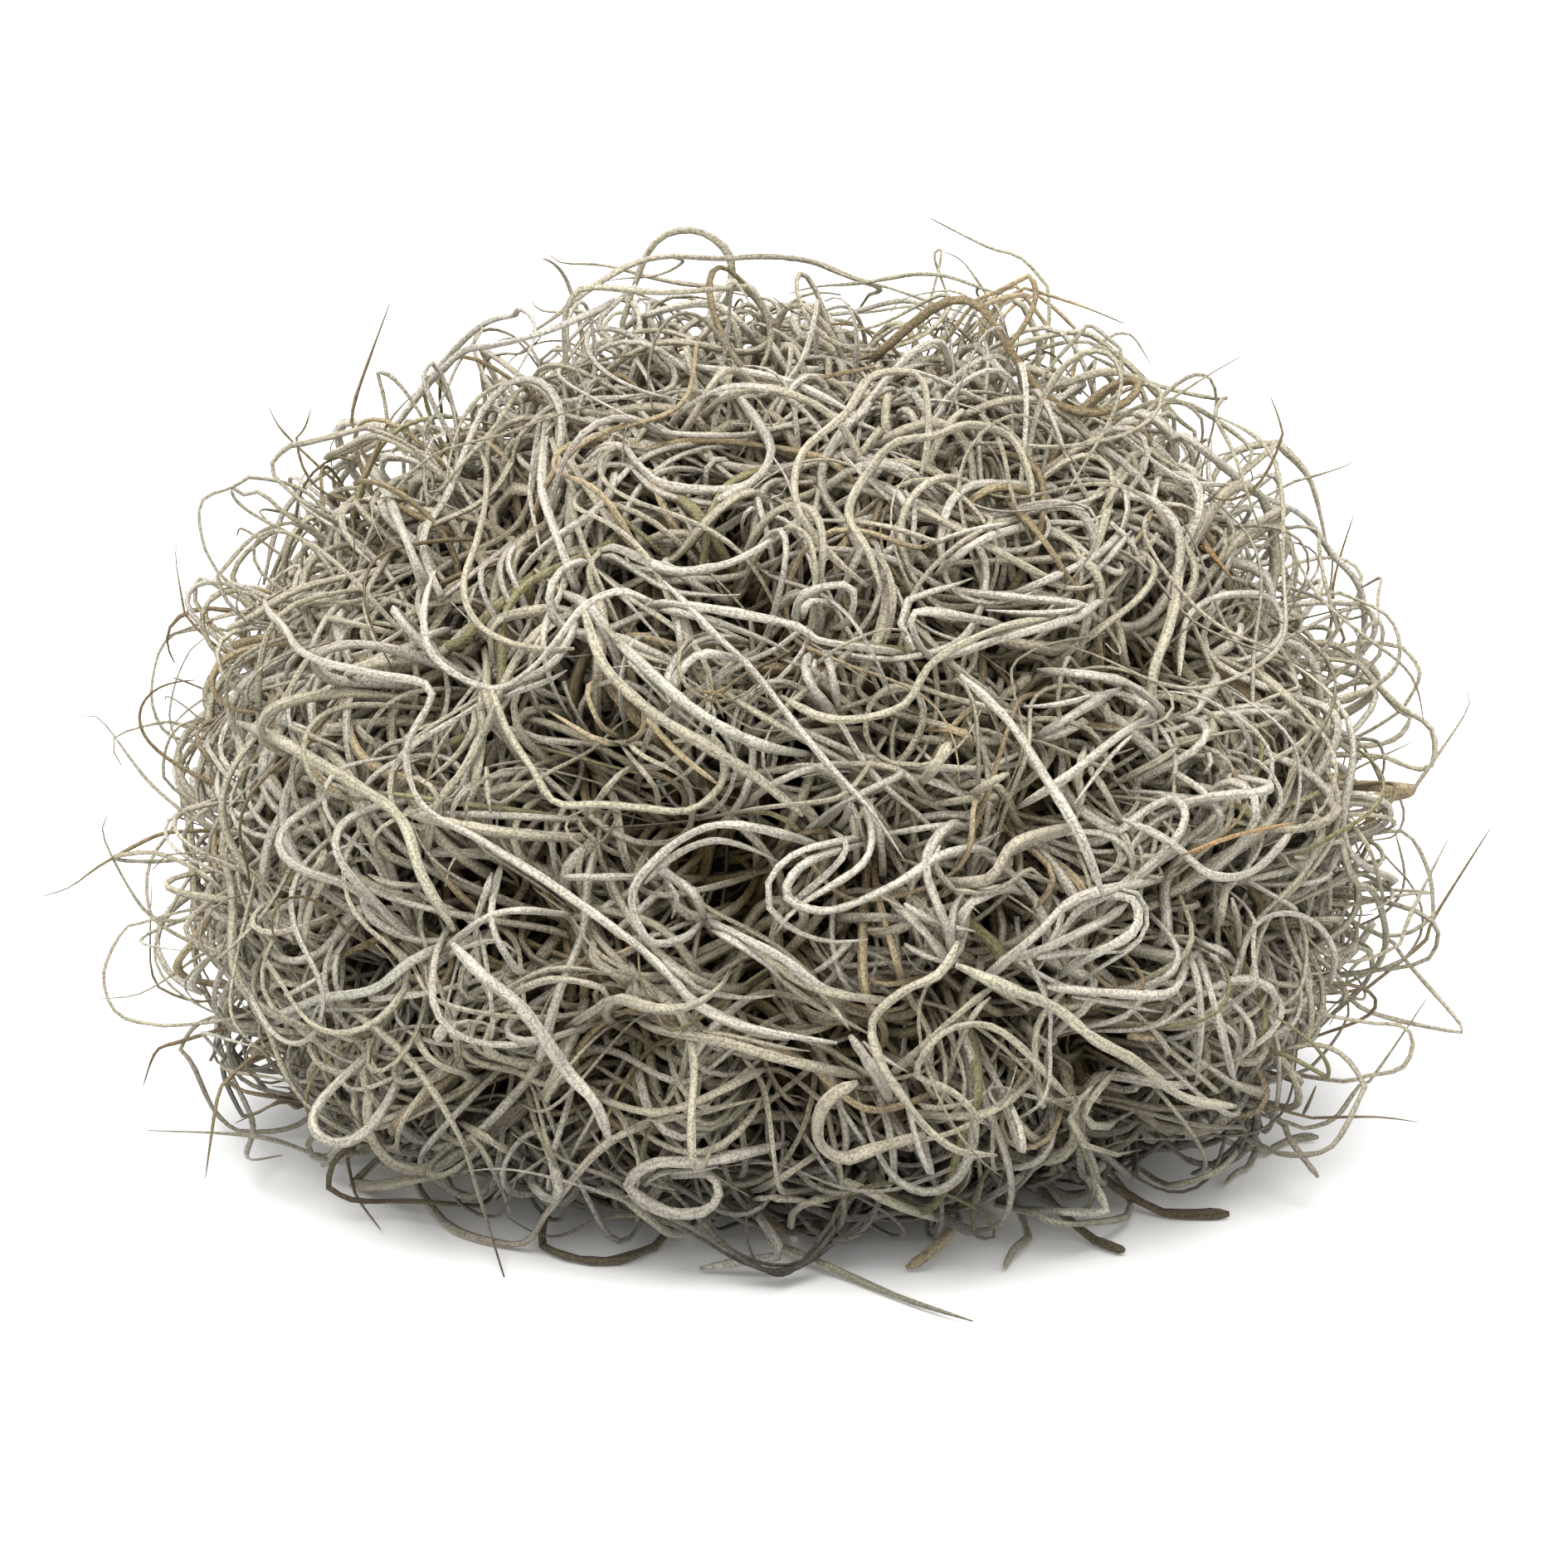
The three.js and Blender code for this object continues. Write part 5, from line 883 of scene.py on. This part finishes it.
def sumOfPlaces(places, across, up):
    # each place sinks what is near it by a bell curve of the distance
    sunk = np.zeros(across.shape)
    for x, y, wide, deep in places:
        sunk += deep * mm * np.exp(-((across / mm - x) ** 2 + (up / mm - y) ** 2) / wide**2)
    return sunk


def frontLifts(lift, t, ends, draw):
    # the strand waves a little about its lift, and dives at the ends that run back into the bunch
    wave = np.sin(t * draw.uniform(*frontSet["waveTurns"]) + draw.uniform(*anyPhase))
    lifts = lift + frontSet["wave"] * wave
    for end, near in zip(ends, (t, 1 - t)):
        if end == "r":
            share = np.clip(1 - near / frontSet["diveShare"], 0, 1)
            lifts = lifts - frontSet["dive"] * share ** frontSet["divePower"]
    return lifts


def frontPath(across, up, lifts, beyond, draw):
    # past the outline it may lie nearer or further away, which looks the same from the front
    path = onFront(across, up, lifts)
    far = np.linalg.norm(path - eye, axis=1)
    loose = np.clip((beyond - frontSet["looseFrom"]) / (1 - frontSet["looseFrom"]), 0, 1)
    far += draw.uniform(-1, 1) * frontSet["deepSpread"] * loose
    far = smoothed(far[None], frontSet["smooth"])[0]
    return aboveFloor(eye + unit(path - eye) * far[:, None])


pairSet = {
    "from": 14 * mm,  # strands longer than this have a thinner one beside them
    "start": (0, 0.4),
    "run": (0.35, 0.6),  # share of the strand's length that it runs along
    "apart": 0.7,
    "parting": (2, 9),
    "partPower": 1.6,  # above 1, so that they part slowly at first
    "under": 0.4 * mm,
    "sinking": (1, 6),
    "width": (0.5, 0.8),
    "sides": 4,
    "tipShare": 0.5,
    "tip": 0.25,
    "level": (0.88, 1.05),
}


def addPaired(batch, across, up, lifts, hue, draw):
    # a thinner strand runs beside it for a while, parts from it and sinks below it
    steps = len(across)
    start = draw.uniform(*pairSet["start"])
    stretch = slice(int(start * steps), int((start + draw.uniform(*pairSet["run"])) * steps) + 2)
    along = np.maximum(0, np.linspace(0, 1, steps)[stretch] - start)
    slope = unit(np.stack([np.gradient(across[stretch]), np.gradient(up[stretch])], -1))
    side = draw.choice([-1, 1])
    parted = draw.uniform(*pairSet["parting"]) * along ** pairSet["partPower"]
    parting = side * (pairSet["apart"] + parted) * mm
    path = onFront(
        across[stretch] - slope[:, 1] * parting,
        up[stretch] + slope[:, 0] * parting,
        lifts[stretch] - pairSet["under"] - draw.uniform(*pairSet["sinking"]) * mm * along,
    )
    width = draw.uniform(*pairSet["width"]) * mm
    radius = radiusAlong(width, len(path), False, True, draw, pairSet["tipShare"], pairSet["tip"])
    hue = hue[stretch] * draw.uniform(*pairSet["level"])
    batch.add(path[None], radius[None], hue[None], pairSet["sides"])


def addFront(batch, tone, width, ends, route, order, draw):
    # the route at even steps, laid on the mound along the lines of sight; order is the strand's
    # place between the deepest, 0, and the topmost, 1
    steps = max(frontSet["fewest"], int(lengthOf(route) * mm / stemSet["step"]))
    across, up = (evenLine(route, steps) * mm).T
    beyond = np.hypot(across / frontSet["half"][0], up / frontSet["half"][1])
    outline = beyond.max() > frontSet["outlineFrom"]
    lift = 0.0 if outline else frontSet["deepest"] * (1 - order) + frontSet["topmost"] * order
    lifts = frontLifts(lift, np.linspace(0, 1, steps), ends, draw)
    if not outline:
        lifts = lifts - sumOfPlaces(lowPlaces, across, up)
    path = frontPath(across, up, lifts, beyond, draw)
    if outline or path[:, 2].min() < frontSet["nearFloor"]:
        path = rooted(path, ends)
        steps = len(path)
    tipStart, tipEnd = ends[0] == "t", ends[1] == "t"
    width = min(width * frontSet["slim"], frontSet["widest"]) * mm
    radius = radiusAlong(width, steps, tipStart, tipEnd, draw, frontSet["tipShare"], frontSet["tip"])
    # the hue is darkened near the floor as painted shade
    hue = hueAlong(tone, steps, draw, tipStart, tipEnd) * undersideDim(path, frontSet["shadeShare"])
    spin = np.linspace(0, 1, steps) * lengthOf(path) * stemSet["twist"] * draw.uniform(-1, 1)
    batch.add(path[None], radius[None], hue[None], frontSet["sides"], spin[None], stemSet["flat"])
    if lengthOf(path) > pairSet["from"] and steps == len(across):
        addPaired(batch, across, up, lifts, hue, draw)


def dressFront():
    draw = np.random.default_rng(frontSet["seed"])
    batch, made = StrandBatch(), 0
    for index, (tone, width, ends, route) in enumerate(frontStrands):
        addFront(batch, tone, width, ends, np.array(route), index / len(frontStrands), draw)
        if batch.strands >= frontSet["perPiece"] or index == len(frontStrands) - 1:
            made += 1
            makePiece(strandMesh("front_strands_%d" % made, batch), mossSkin)
            batch = StrandBatch()
    print("front strands ready")


dressFront()


# dark places between the strands of the front: across, up, how wide and how deep, in millimetres
hollows = [
    (-20, 11, 5, 8), (-14, 6, 6, 7), (-6, 29, 5, 6), (-2, 25, 4, 6), (7, -2, 6, 7), (-4, -3, 6, 7),
    (22, -4, 5, 8), (-2, -12, 6, 7), (-18, -19, 6, 8), (20, -15, 5, 8), (-25, -6, 5, 7), (34, -8, 4, 7),
    (-10, 1, 5, 6), (-30, -2, 4, 5), (10, 14, 5, 5), (30, 10, 5, 5), (8, -20, 5, 8), (34, -22, 5, 7),
    (0, -24, 6, 7), (-30, -24, 5, 6), (-34, 20, 4, 4), (16, 28, 4, 4), (-40, -10, 4, 5), (44, 0, 4, 4),
    (22, 24, 4, 5), (27, 18, 4, 6), (25, 5, 4, 6), (38, -3, 4, 5), (14, -14, 5, 5), (30, -18, 5, 5),
]
hollowFacing = 0.5  # they are full where the mass faces the front at least this much


def hollowAt(points):
    # how far the hollows sink a point, less the more the mass turns away from the front
    across, up = seenAt(points)
    facing = np.clip(-(unit(points - heart) @ forward) / hollowFacing, 0, 1)
    return sumOfPlaces(hollows + lowPlaces, across, up) * facing


# flat or hollow places along the outline: across, up, how wide and how deep, in millimetres
dents = [
    (0, 50, 18, 5), (-29, 46, 12, 6), (45, 34, 12, 6), (52, 22, 9, 2), (20, 50, 14, 6.5),
    (60, 6, 14, 5.5), (54, -22, 12, 4), (-50, 29, 8, 3),
]
# how far the underside draws in towards the floor
drawnIn = {"front": 1.5 * mm, "sides": 4.5 * mm, "power": 1.5}


def dentAt(points):
    # a bell curve of the distance to each dent, and a power of the way down from the waist
    sunk = np.zeros(points.shape[:-1])
    for x, y, wide, deep in dents:
        away = np.linalg.norm(points - heart - x * mm * sideways - y * mm * upward, axis=-1) / mm
        sunk += deep * mm * np.exp(-((away / wide) ** 2))
    beside = np.clip(np.abs(points[..., 0]) / upperHalf[0], 0, 1)
    drawn = drawnIn["front"] * (1 - beside) + drawnIn["sides"] * beside
    return sunk + drawn * np.clip(1 - points[..., 2] / heart[2], 0, 1) ** drawnIn["power"]


def spread(count, draw):
    # directions at even steps of height and golden-angle turns, each moved a little
    heights = 1 - (np.arange(count) + draw.random(count)) / count * (1 - mound["lowest"])
    ring = np.sqrt(np.maximum(0, 1 - heights**2))
    angle = np.arange(count) * math.pi * (3 - math.sqrt(5)) + draw.random(count)
    return np.stack([ring * np.cos(angle), ring * np.sin(angle), heights], -1)


poleAxis = [0.1, 0.2, 1.0]  # no direction of a strand lies along it


def anyHeading(directions, draw):
    # a way along the surface of the mass, drawn from the full turn
    east = unit(np.cross(poleAxis, directions))
    north = np.cross(directions, east)
    angle = draw.uniform(0, 2 * math.pi, len(directions))[:, None]
    return east * np.cos(angle) + north * np.sin(angle)


walkSet = {
    "backward": 8e4,  # how hard a strand is bent back into its layer
    "beyond": 4 * mm,  # outside the layer by this much, it is bent back no harder
    "floorNear": 3 * mm,
    "frontPower": 0.4,  # the lower, the further round the front's own height reaches
    "roll": 40,  # how far the axis is rolled at the start, times the twist
    "offset": [0.01, 0.02, 0.03],  # so that no axis is without a direction
    "smooth": 2,
}


def curlWalk(points, headings, turns, twists, stepLengths, low, high):
    # a walk through the outside of the mass, all strands at once: at each step the heading turns
    # about an axis by so many radians a metre, the axis rolls about the heading by the twists, and
    # the heading is bent back where the strand would leave the layer between low and high
    points, headings = points.copy(), unit(headings)
    axes = unit(np.cross(headings, liftOf(points)[1] + walkSet["offset"]))
    roll = twists[:, :1] * walkSet["roll"]
    axes = unit(axes * np.cos(roll) + np.cross(headings, axes) * np.sin(roll))
    count, steps = turns.shape
    spots = np.empty((count, steps, 3))
    for step in range(steps):
        spots[:, step] = points
        lift, out = liftOf(points)
        facing = np.clip(-(out @ forward), 0, 1) ** walkSet["frontPower"]
        highest = high[:, 0] * (1 - facing) + high[:, 1] * facing
        back = np.clip(low - lift, 0, walkSet["beyond"]) - np.clip(lift - highest, 0, walkSet["beyond"])
        headings = headings + out * (back * stepLengths * walkSet["backward"])[:, None]
        lowBy = np.clip(walkSet["floorNear"] - points[:, 2], 0, 1)
        headings[:, 2] += lowBy * stepLengths * walkSet["backward"]
        headings = unit(headings)
        turn = (turns[:, step] * stepLengths)[:, None]
        axes = unit(axes - headings * (axes * headings).sum(-1, keepdims=True))
        headings = headings * np.cos(turn) + np.cross(axes, headings) * np.sin(turn)
        roll = (twists[:, step] * stepLengths)[:, None]
        axes = axes * np.cos(roll) + np.cross(headings, axes) * np.sin(roll)
        points = aboveFloor(points + headings * stepLengths[:, None])
    return smoothed(spots, walkSet["smooth"])


# low, high: how deep and how high the strands of a layer keep, in millimetres from the mound; front is
# the height where the front is seen. Turns are in radians a metre, lengths and widths in millimetres.
# Free is the share of strands with a free tip, and hollow how far they follow the hollows.
layers = {
    "outer": {
        "count": 1500, "steps": 34, "sides": 4, "length": (30, 70), "width": (0.5, 1.08),
        "low": (-10, -7.5), "high": (-4.5, -0.3), "front": (-6, -4), "curl": 80, "sway": (60, 260),
        "twist": 60, "free": 0.4, "hollow": 1.1, "allRound": True, "seed": 3,
        "tones": {"light": 0.45, "grey": 0.37, "lilac": 0.06, "green": 0.05, "olive": 0.03, "tan": 0.03,
                  "brown": 0.01},
    },
    "middle": {
        "count": 1250, "steps": 25, "sides": 3, "length": (28, 58), "width": (0.5, 1.1),
        "low": (-13, -10), "high": (-7, -5), "front": (-8.5, -6), "curl": 70, "sway": (40, 220),
        "twist": 60, "free": 0.25, "hollow": 1.05, "allRound": True, "seed": 5,
        "tones": {"light": 0.28, "grey": 0.42, "lilac": 0.06, "green": 0.07, "olive": 0.06, "tan": 0.07,
                  "brown": 0.04},
    },
    "deep": {
        "count": 900, "steps": 18, "sides": 3, "length": (32, 60), "width": (0.9, 1.5),
        "low": (-15, -13), "high": (-9.5, -7.5), "front": (-11.5, -9.5), "curl": 60, "sway": (30, 150),
        "twist": 40, "free": 0, "hollow": 0.7, "allRound": True, "seed": 7,
        "tones": {"light": 0.12, "grey": 0.38, "green": 0.1, "olive": 0.12, "tan": 0.12, "brown": 0.16},
    },
    "bows": {
        "count": 460, "steps": 32, "sides": 4, "length": (28, 60), "width": (0.46, 0.9),
        "low": (-8, -5), "high": (-1, 4), "front": (-5, 0.3), "curl": 90, "sway": (30, 170),
        "twist": 50, "free": 0.4, "hollow": 1, "allRound": False, "seed": 13,
        "tones": {"light": 0.42, "grey": 0.42, "green": 0.06, "olive": 0.02, "tan": 0.04, "brown": 0.04},
    },
}
sectors = ["front", "right", "back", "left"]
layerSet = {
    "bundle": 3,  # strands that run together
    "apart": 0.022,
    "turned": 0.2,
    "ownCurl": 25,
    "swayLength": (3.2, 8),
    "ownPhase": (-0.4, 0.4),
    "small": 0.4,  # the second sway's strength against the first's,
    "short": 0.37,  # and its length
    "dive": 5 * mm,  # how far an end sinks,
    "diveShare": 0.14,  # over this share of the length
    "thickPower": 1.5,  # above 1, so that most strands are thin
    "tip": 0.16,
    "tipShare": 0.4,
    "uneven": 0.06,
    "swells": 13,
    "level": (0.96, 1.08),
    "shadeFrom": 4.5 * mm,  # painted shade: strands deeper than this are made darker and browner,
    "shadeTo": 15 * mm,  # and at this depth they have lost the shares of red, green and blue below
    "dark": np.array([0.75, 0.81, 0.92]),
}


def walkLayer(rule, draw):
    # strands run in bundles that start near one another, keep nearly the same bends and part slowly
    count, steps = rule["count"], rule["steps"]
    bundle = np.arange(count) // layerSet["bundle"]
    bundles = bundle[-1] + 1

    def each(low, high):
        return draw.uniform(low, high, count)[:, None]

    def shared(low, high):
        return draw.uniform(low, high, bundles)[bundle][:, None]

    first = spread(bundles, draw)
    starts = unit(first[bundle] + draw.normal(0, layerSet["apart"], (count, 3)))
    headings = anyHeading(first, draw)[bundle] + draw.normal(0, layerSet["turned"], (count, 3))
    lengths = each(*rule["length"]) * mm
    travelled = np.linspace(0, 1, steps)[None] * lengths
    # the way bends by a steady curl and by two sways of their own length
    curl = draw.normal(0, rule["curl"], bundles)[bundle][:, None]
    curl = curl + draw.normal(0, layerSet["ownCurl"], (count, 1))
    sway = shared(*rule["sway"])
    swayLength = shared(*layerSet["swayLength"]) * mm
    longSway = np.sin(shared(*fullPhase) + each(*layerSet["ownPhase"]) + travelled / swayLength)
    shortSway = np.sin(each(*fullPhase) + travelled / swayLength / layerSet["short"])
    turns = curl + sway * longSway + layerSet["small"] * sway * shortSway
    twists = shared(-1, 1) * rule["twist"] * np.ones((1, steps))
    low = shared(*rule["low"])[:, 0] * mm
    high = np.hstack([shared(*rule["high"]), shared(*rule["front"])]) * mm
    path = onMound(starts, low + (high[:, 1] - low) * draw.random(count))
    return curlWalk(path, headings, turns, twists, lengths[:, 0] / (steps - 1), low, high), travelled


def layStrands(rule):
    # the walked strands, sunk by the dives of their ends, the hollows and the dents
    draw = np.random.default_rng(rule["seed"])
    count, steps = rule["count"], rule["steps"]
    path, travelled = walkLayer(rule, draw)
    t = np.linspace(0, 1, steps)[None]
    # both ends run down into the bunch, unless the last one is a free tip
    free = draw.random(count)[:, None] < rule["free"]
    startDive = np.clip(1 - t / layerSet["diveShare"], 0, 1)
    endDive = np.where(free, 0, np.clip(1 - (1 - t) / layerSet["diveShare"], 0, 1))
    sink = layerSet["dive"] * startDive + layerSet["dive"] * endDive
    sink = sink + rule["hollow"] * hollowAt(path) + dentAt(path)
    lifts, out = liftOf(path)
    depth = sink - lifts
    path = aboveFloor(smoothed(path - out * sink[..., None], walkSet["smooth"]))
    thick = draw.random(count)[:, None] ** layerSet["thickPower"]
    width = (rule["width"][0] * (1 - thick) + rule["width"][1] * thick) * mm
    taper = np.where(free, taperTo(layerSet["tip"], 1 - t, layerSet["tipShare"]), 1)
    swell = layerSet["uneven"] * np.sin(t * layerSet["swells"] + draw.uniform(*fullPhase, count)[:, None])
    radius = width / 2 * taper * (1 + swell + draw.normal(0, layerSet["uneven"], (count, steps)))
    hue = pickTones(rule["tones"], count, draw)[:, None]
    hue = hue * draw.uniform(*layerSet["level"], count)[:, None, None]
    # painted shade: the deeper a strand lies in the mass the darker and browner it is made, and it is
    # darker near the floor too
    dark = np.clip((depth - layerSet["shadeFrom"]) / (layerSet["shadeTo"] - layerSet["shadeFrom"]), 0, 1)
    hue = hue * (1 - dark[..., None] * layerSet["dark"]) * undersideDim(path)
    spin = travelled * stemSet["twist"] * draw.uniform(-1, 1, count)[:, None]
    return path, radius, hue, spin


def dressLayer(layer, rule):
    # one piece for each side that the middle of a strand lies on, or one piece in all
    path, radius, hue, spin = layStrands(rule)
    middle = path.mean(1)
    turn = np.degrees(np.arctan2(middle[:, 0], -middle[:, 1]))  # 0 at the front, 90 at the right
    sector = np.round(turn / 90).astype(int) % 4
    if not rule["allRound"]:
        sector[:] = 0
    for k, side in enumerate(sectors):
        mine = sector == k
        if not mine.any():
            continue
        batch = StrandBatch()
        batch.add(path[mine], radius[mine], hue[mine], rule["sides"], spin[mine])
        makePiece(strandMesh("%s_%s_strands" % (layer, side), batch), mossSkin)


for layer, rule in layers.items():
    dressLayer(layer, rule)
print("layers ready")


# thin free ends all round that stand out of the mass, fewer and lower where the front is seen; the
# keys that the layers have too mean the same here
wispSet = {
    "count": 420, "steps": 24, "sides": 3, "length": (18, 44), "width": (0.45, 0.8), "low": -5,
    "high": (0, 5.5), "front": (-3, 0.5), "curl": 95, "sway": (30, 170), "swayLength": (3, 7), "twist": 60,
    "outward": (0.05, 0.6),  # how much of the first heading is straight out
    "frontFewer": 0.6,
    "frontFlatter": 0.6,
    "over": 1 * mm,  # what stands out of its layer by more than this
    "pulledIn": 0.7,  # is pulled in by this share
    "tip": 0.18,
    "tipPower": 0.7,
    "dried": 0.6,
    "seed": 11,
    "tones": {"grey": 0.42, "light": 0.3, "green": 0.08, "olive": 0.08, "brown": 0.12},
}


def facingFront(points):
    # 1 where the mass faces the front, down to 0 where it turns away
    return np.clip(-(liftOf(points)[1] @ forward), 0, 1)


def layWisps():
    # each walks out of the mass, and what stands out too far is pulled in by a share
    draw = np.random.default_rng(wispSet["seed"])
    count, steps = wispSet["count"], wispSet["steps"]
    directions = spread(count, draw)
    facing = facingFront(onMound(directions, np.zeros(count)))
    directions = directions[draw.random(count) > wispSet["frontFewer"] * facing]
    count = len(directions)

    def each(low, high):
        return draw.uniform(low, high, (count, 1))

    low = np.full(count, wispSet["low"] * mm)
    starts = onMound(directions, low)
    out = liftOf(starts)[1]
    outward = each(*wispSet["outward"]) * (1 - wispSet["frontFlatter"] * facingFront(starts))[:, None]
    headings = anyHeading(directions, draw) * (1 - outward) + out * outward
    lengths = each(*wispSet["length"]) * mm
    t = np.linspace(0, 1, steps)[None]
    curl = draw.normal(0, wispSet["curl"], (count, 1))
    sway = each(*wispSet["sway"])
    turns = curl + sway * np.sin(each(*fullPhase) + t * lengths / each(*wispSet["swayLength"]) / mm)
    twists = each(-1, 1) * wispSet["twist"] * np.ones((1, steps))
    high = np.hstack([each(*wispSet["high"]), each(*wispSet["front"])]) * mm
    path = curlWalk(starts, headings, turns, twists, lengths[:, 0] / (steps - 1), low, high)
    lifts, out = liftOf(path)
    over = np.clip(lifts - high[:, :1] - wispSet["over"], 0, None) * wispSet["pulledIn"]
    path = aboveFloor(path - out * (over + hollowAt(path) + dentAt(path))[..., None])
    taper = wispSet["tip"] + (1 - wispSet["tip"]) * (1 - t) ** wispSet["tipPower"]
    radius = each(*wispSet["width"]) * mm / 2 * taper
    dried = (wispSet["dried"] * t**2)[..., None]
    hue = pickTones(wispSet["tones"], count, draw)[:, None] * (1 - dried) + linear(tones["tip"]) * dried
    # the hue is darkened near the floor as painted shade
    return path, radius, hue * undersideDim(path)


def dressWisps():
    path, radius, hue = layWisps()
    batch = StrandBatch()
    batch.add(path, radius, hue, wispSet["sides"])
    makePiece(strandMesh("wisps", batch), mossSkin)
    print("wisps ready")


dressWisps()


# a lump deep inside, so that no light comes through from behind; its near-black hue is painted shade of
# the bunch's inside
heartSet = {
    "rings": 24,
    "turns": 48,
    "lift": -17 * mm,
    "lump": 1.6 * mm,
    "waves": (17, 15, 13),  # humps along X, Y and Z
    # near black, as painted shade
    "hue": (26, 21, 14),
}


def heartDirections():
    # rings from the top to the bottom, then the two poles
    polar = np.linspace(0, math.pi, heartSet["rings"] + 1)[1:-1, None]
    turn = np.linspace(0, 2 * math.pi, heartSet["turns"], endpoint=False)[None]
    grid = np.broadcast_arrays(np.sin(polar) * np.cos(turn), np.sin(polar) * np.sin(turn), np.cos(polar))
    poles = np.array([[0, 0, 1.0], [0, 0, -1.0]])
    return np.concatenate([np.stack(grid, -1).reshape(-1, 3), poles])


def heartFaces():
    # quads between the rings, and a fan to each pole
    rows, turns = heartSet["rings"] - 1, heartSet["turns"]
    row, k = np.meshgrid(np.arange(rows - 1), np.arange(turns), indexing="ij")
    a, b = row * turns + k, row * turns + (k + 1) % turns
    quads = np.stack([a, a + turns, b + turns, b], -1).reshape(-1, 4)
    around = np.arange(turns)
    last = (rows - 1) * turns
    top = np.stack([np.full(turns, rows * turns), around, (around + 1) % turns], -1)
    bottom = np.stack([np.full(turns, rows * turns + 1), last + (around + 1) % turns, last + around], -1)
    return quads.tolist() + top.tolist() + bottom.tolist()


def makeHeart():
    # the mound made smaller by the lift, with humps of sine times cosine times sine
    directions = heartDirections()
    x, y, z = (directions * heartSet["waves"]).T
    lumps = np.sin(x) * np.cos(y) * np.sin(z + 1)
    corners = onMound(directions, heartSet["lift"] + heartSet["lump"] * lumps)
    mesh = bpy.data.meshes.new("heart_lump")
    mesh.from_pydata(corners.tolist(), [], heartFaces())
    # painted shade: the lump is coloured near black
    setHues(mesh, np.tile(linear(heartSet["hue"]), (len(corners), 1)))
    makePiece(mesh, deepSkin)
    print("heart ready")


makeHeart()


floorSet = {"half": 6, "grey": 0.92, "roughness": 0.9, "specular": 0.1}


def makeFloor():
    material = bpy.data.materials.new("paleFloor")
    material.use_nodes = True
    shader = material.node_tree.nodes["Principled BSDF"]
    shader.inputs["Base Color"].default_value = (*[floorSet["grey"]] * 3, 1)
    shader.inputs["Roughness"].default_value = floorSet["roughness"]
    shader.inputs["Specular IOR Level"].default_value = floorSet["specular"]
    half = floorSet["half"]
    corners = [(-half, -half, 0), (half, -half, 0), (half, half, 0), (-half, half, 0)]
    mesh = bpy.data.meshes.new("floor")
    mesh.from_pydata(corners, [], [(0, 1, 2, 3)])
    mesh.materials.append(material)
    floor = bpy.data.objects.new("floor", mesh)
    scene.collection.objects.link(floor)
    floor.visible_diffuse = False  # it throws no light up under the bunch


# wide soft lights: how many degrees each looks wide, its strength, and its tilt from straight above
lampSet = {
    "top": {"wide": 60, "strength": 3.55, "tilt": (15, -6), "colour": (1, 0.99, 0.97)},
    "front": {"wide": 60, "strength": 0.8, "tilt": (60, 8), "colour": (0.98, 0.99, 1)},
}
skyStrength = 0.97


def makeLights():
    world = bpy.data.worlds.new("studio")
    scene.world = world
    world.use_nodes = True
    world.node_tree.nodes["Background"].inputs["Color"].default_value = (1, 1, 1, 1)
    world.node_tree.nodes["Background"].inputs["Strength"].default_value = skyStrength
    for name, lamp in lampSet.items():
        light = bpy.data.lights.new(name, "SUN")
        light.angle = math.radians(lamp["wide"])
        light.energy = lamp["strength"]
        light.color = lamp["colour"]
        holder = bpy.data.objects.new(name, light)
        holder.rotation_euler = [math.radians(angle) for angle in (*lamp["tilt"], 0)]
        scene.collection.objects.link(holder)


def placeCamera():
    camera = bpy.data.cameras.new("camera")
    camera.lens = eyeSet["lens"]
    camera.sensor_width = eyeSet["sensor"]
    camera.clip_start = 0.01
    holder = bpy.data.objects.new("camera", camera)
    holder.location = eye
    holder.rotation_euler = (math.pi / 2 - eyeSet["elevation"], 0, 0)
    scene.collection.objects.link(holder)
    scene.camera = holder


makeFloor()
makeLights()
scene.view_settings.view_transform = "Standard"
placeCamera()
print("stage ready")
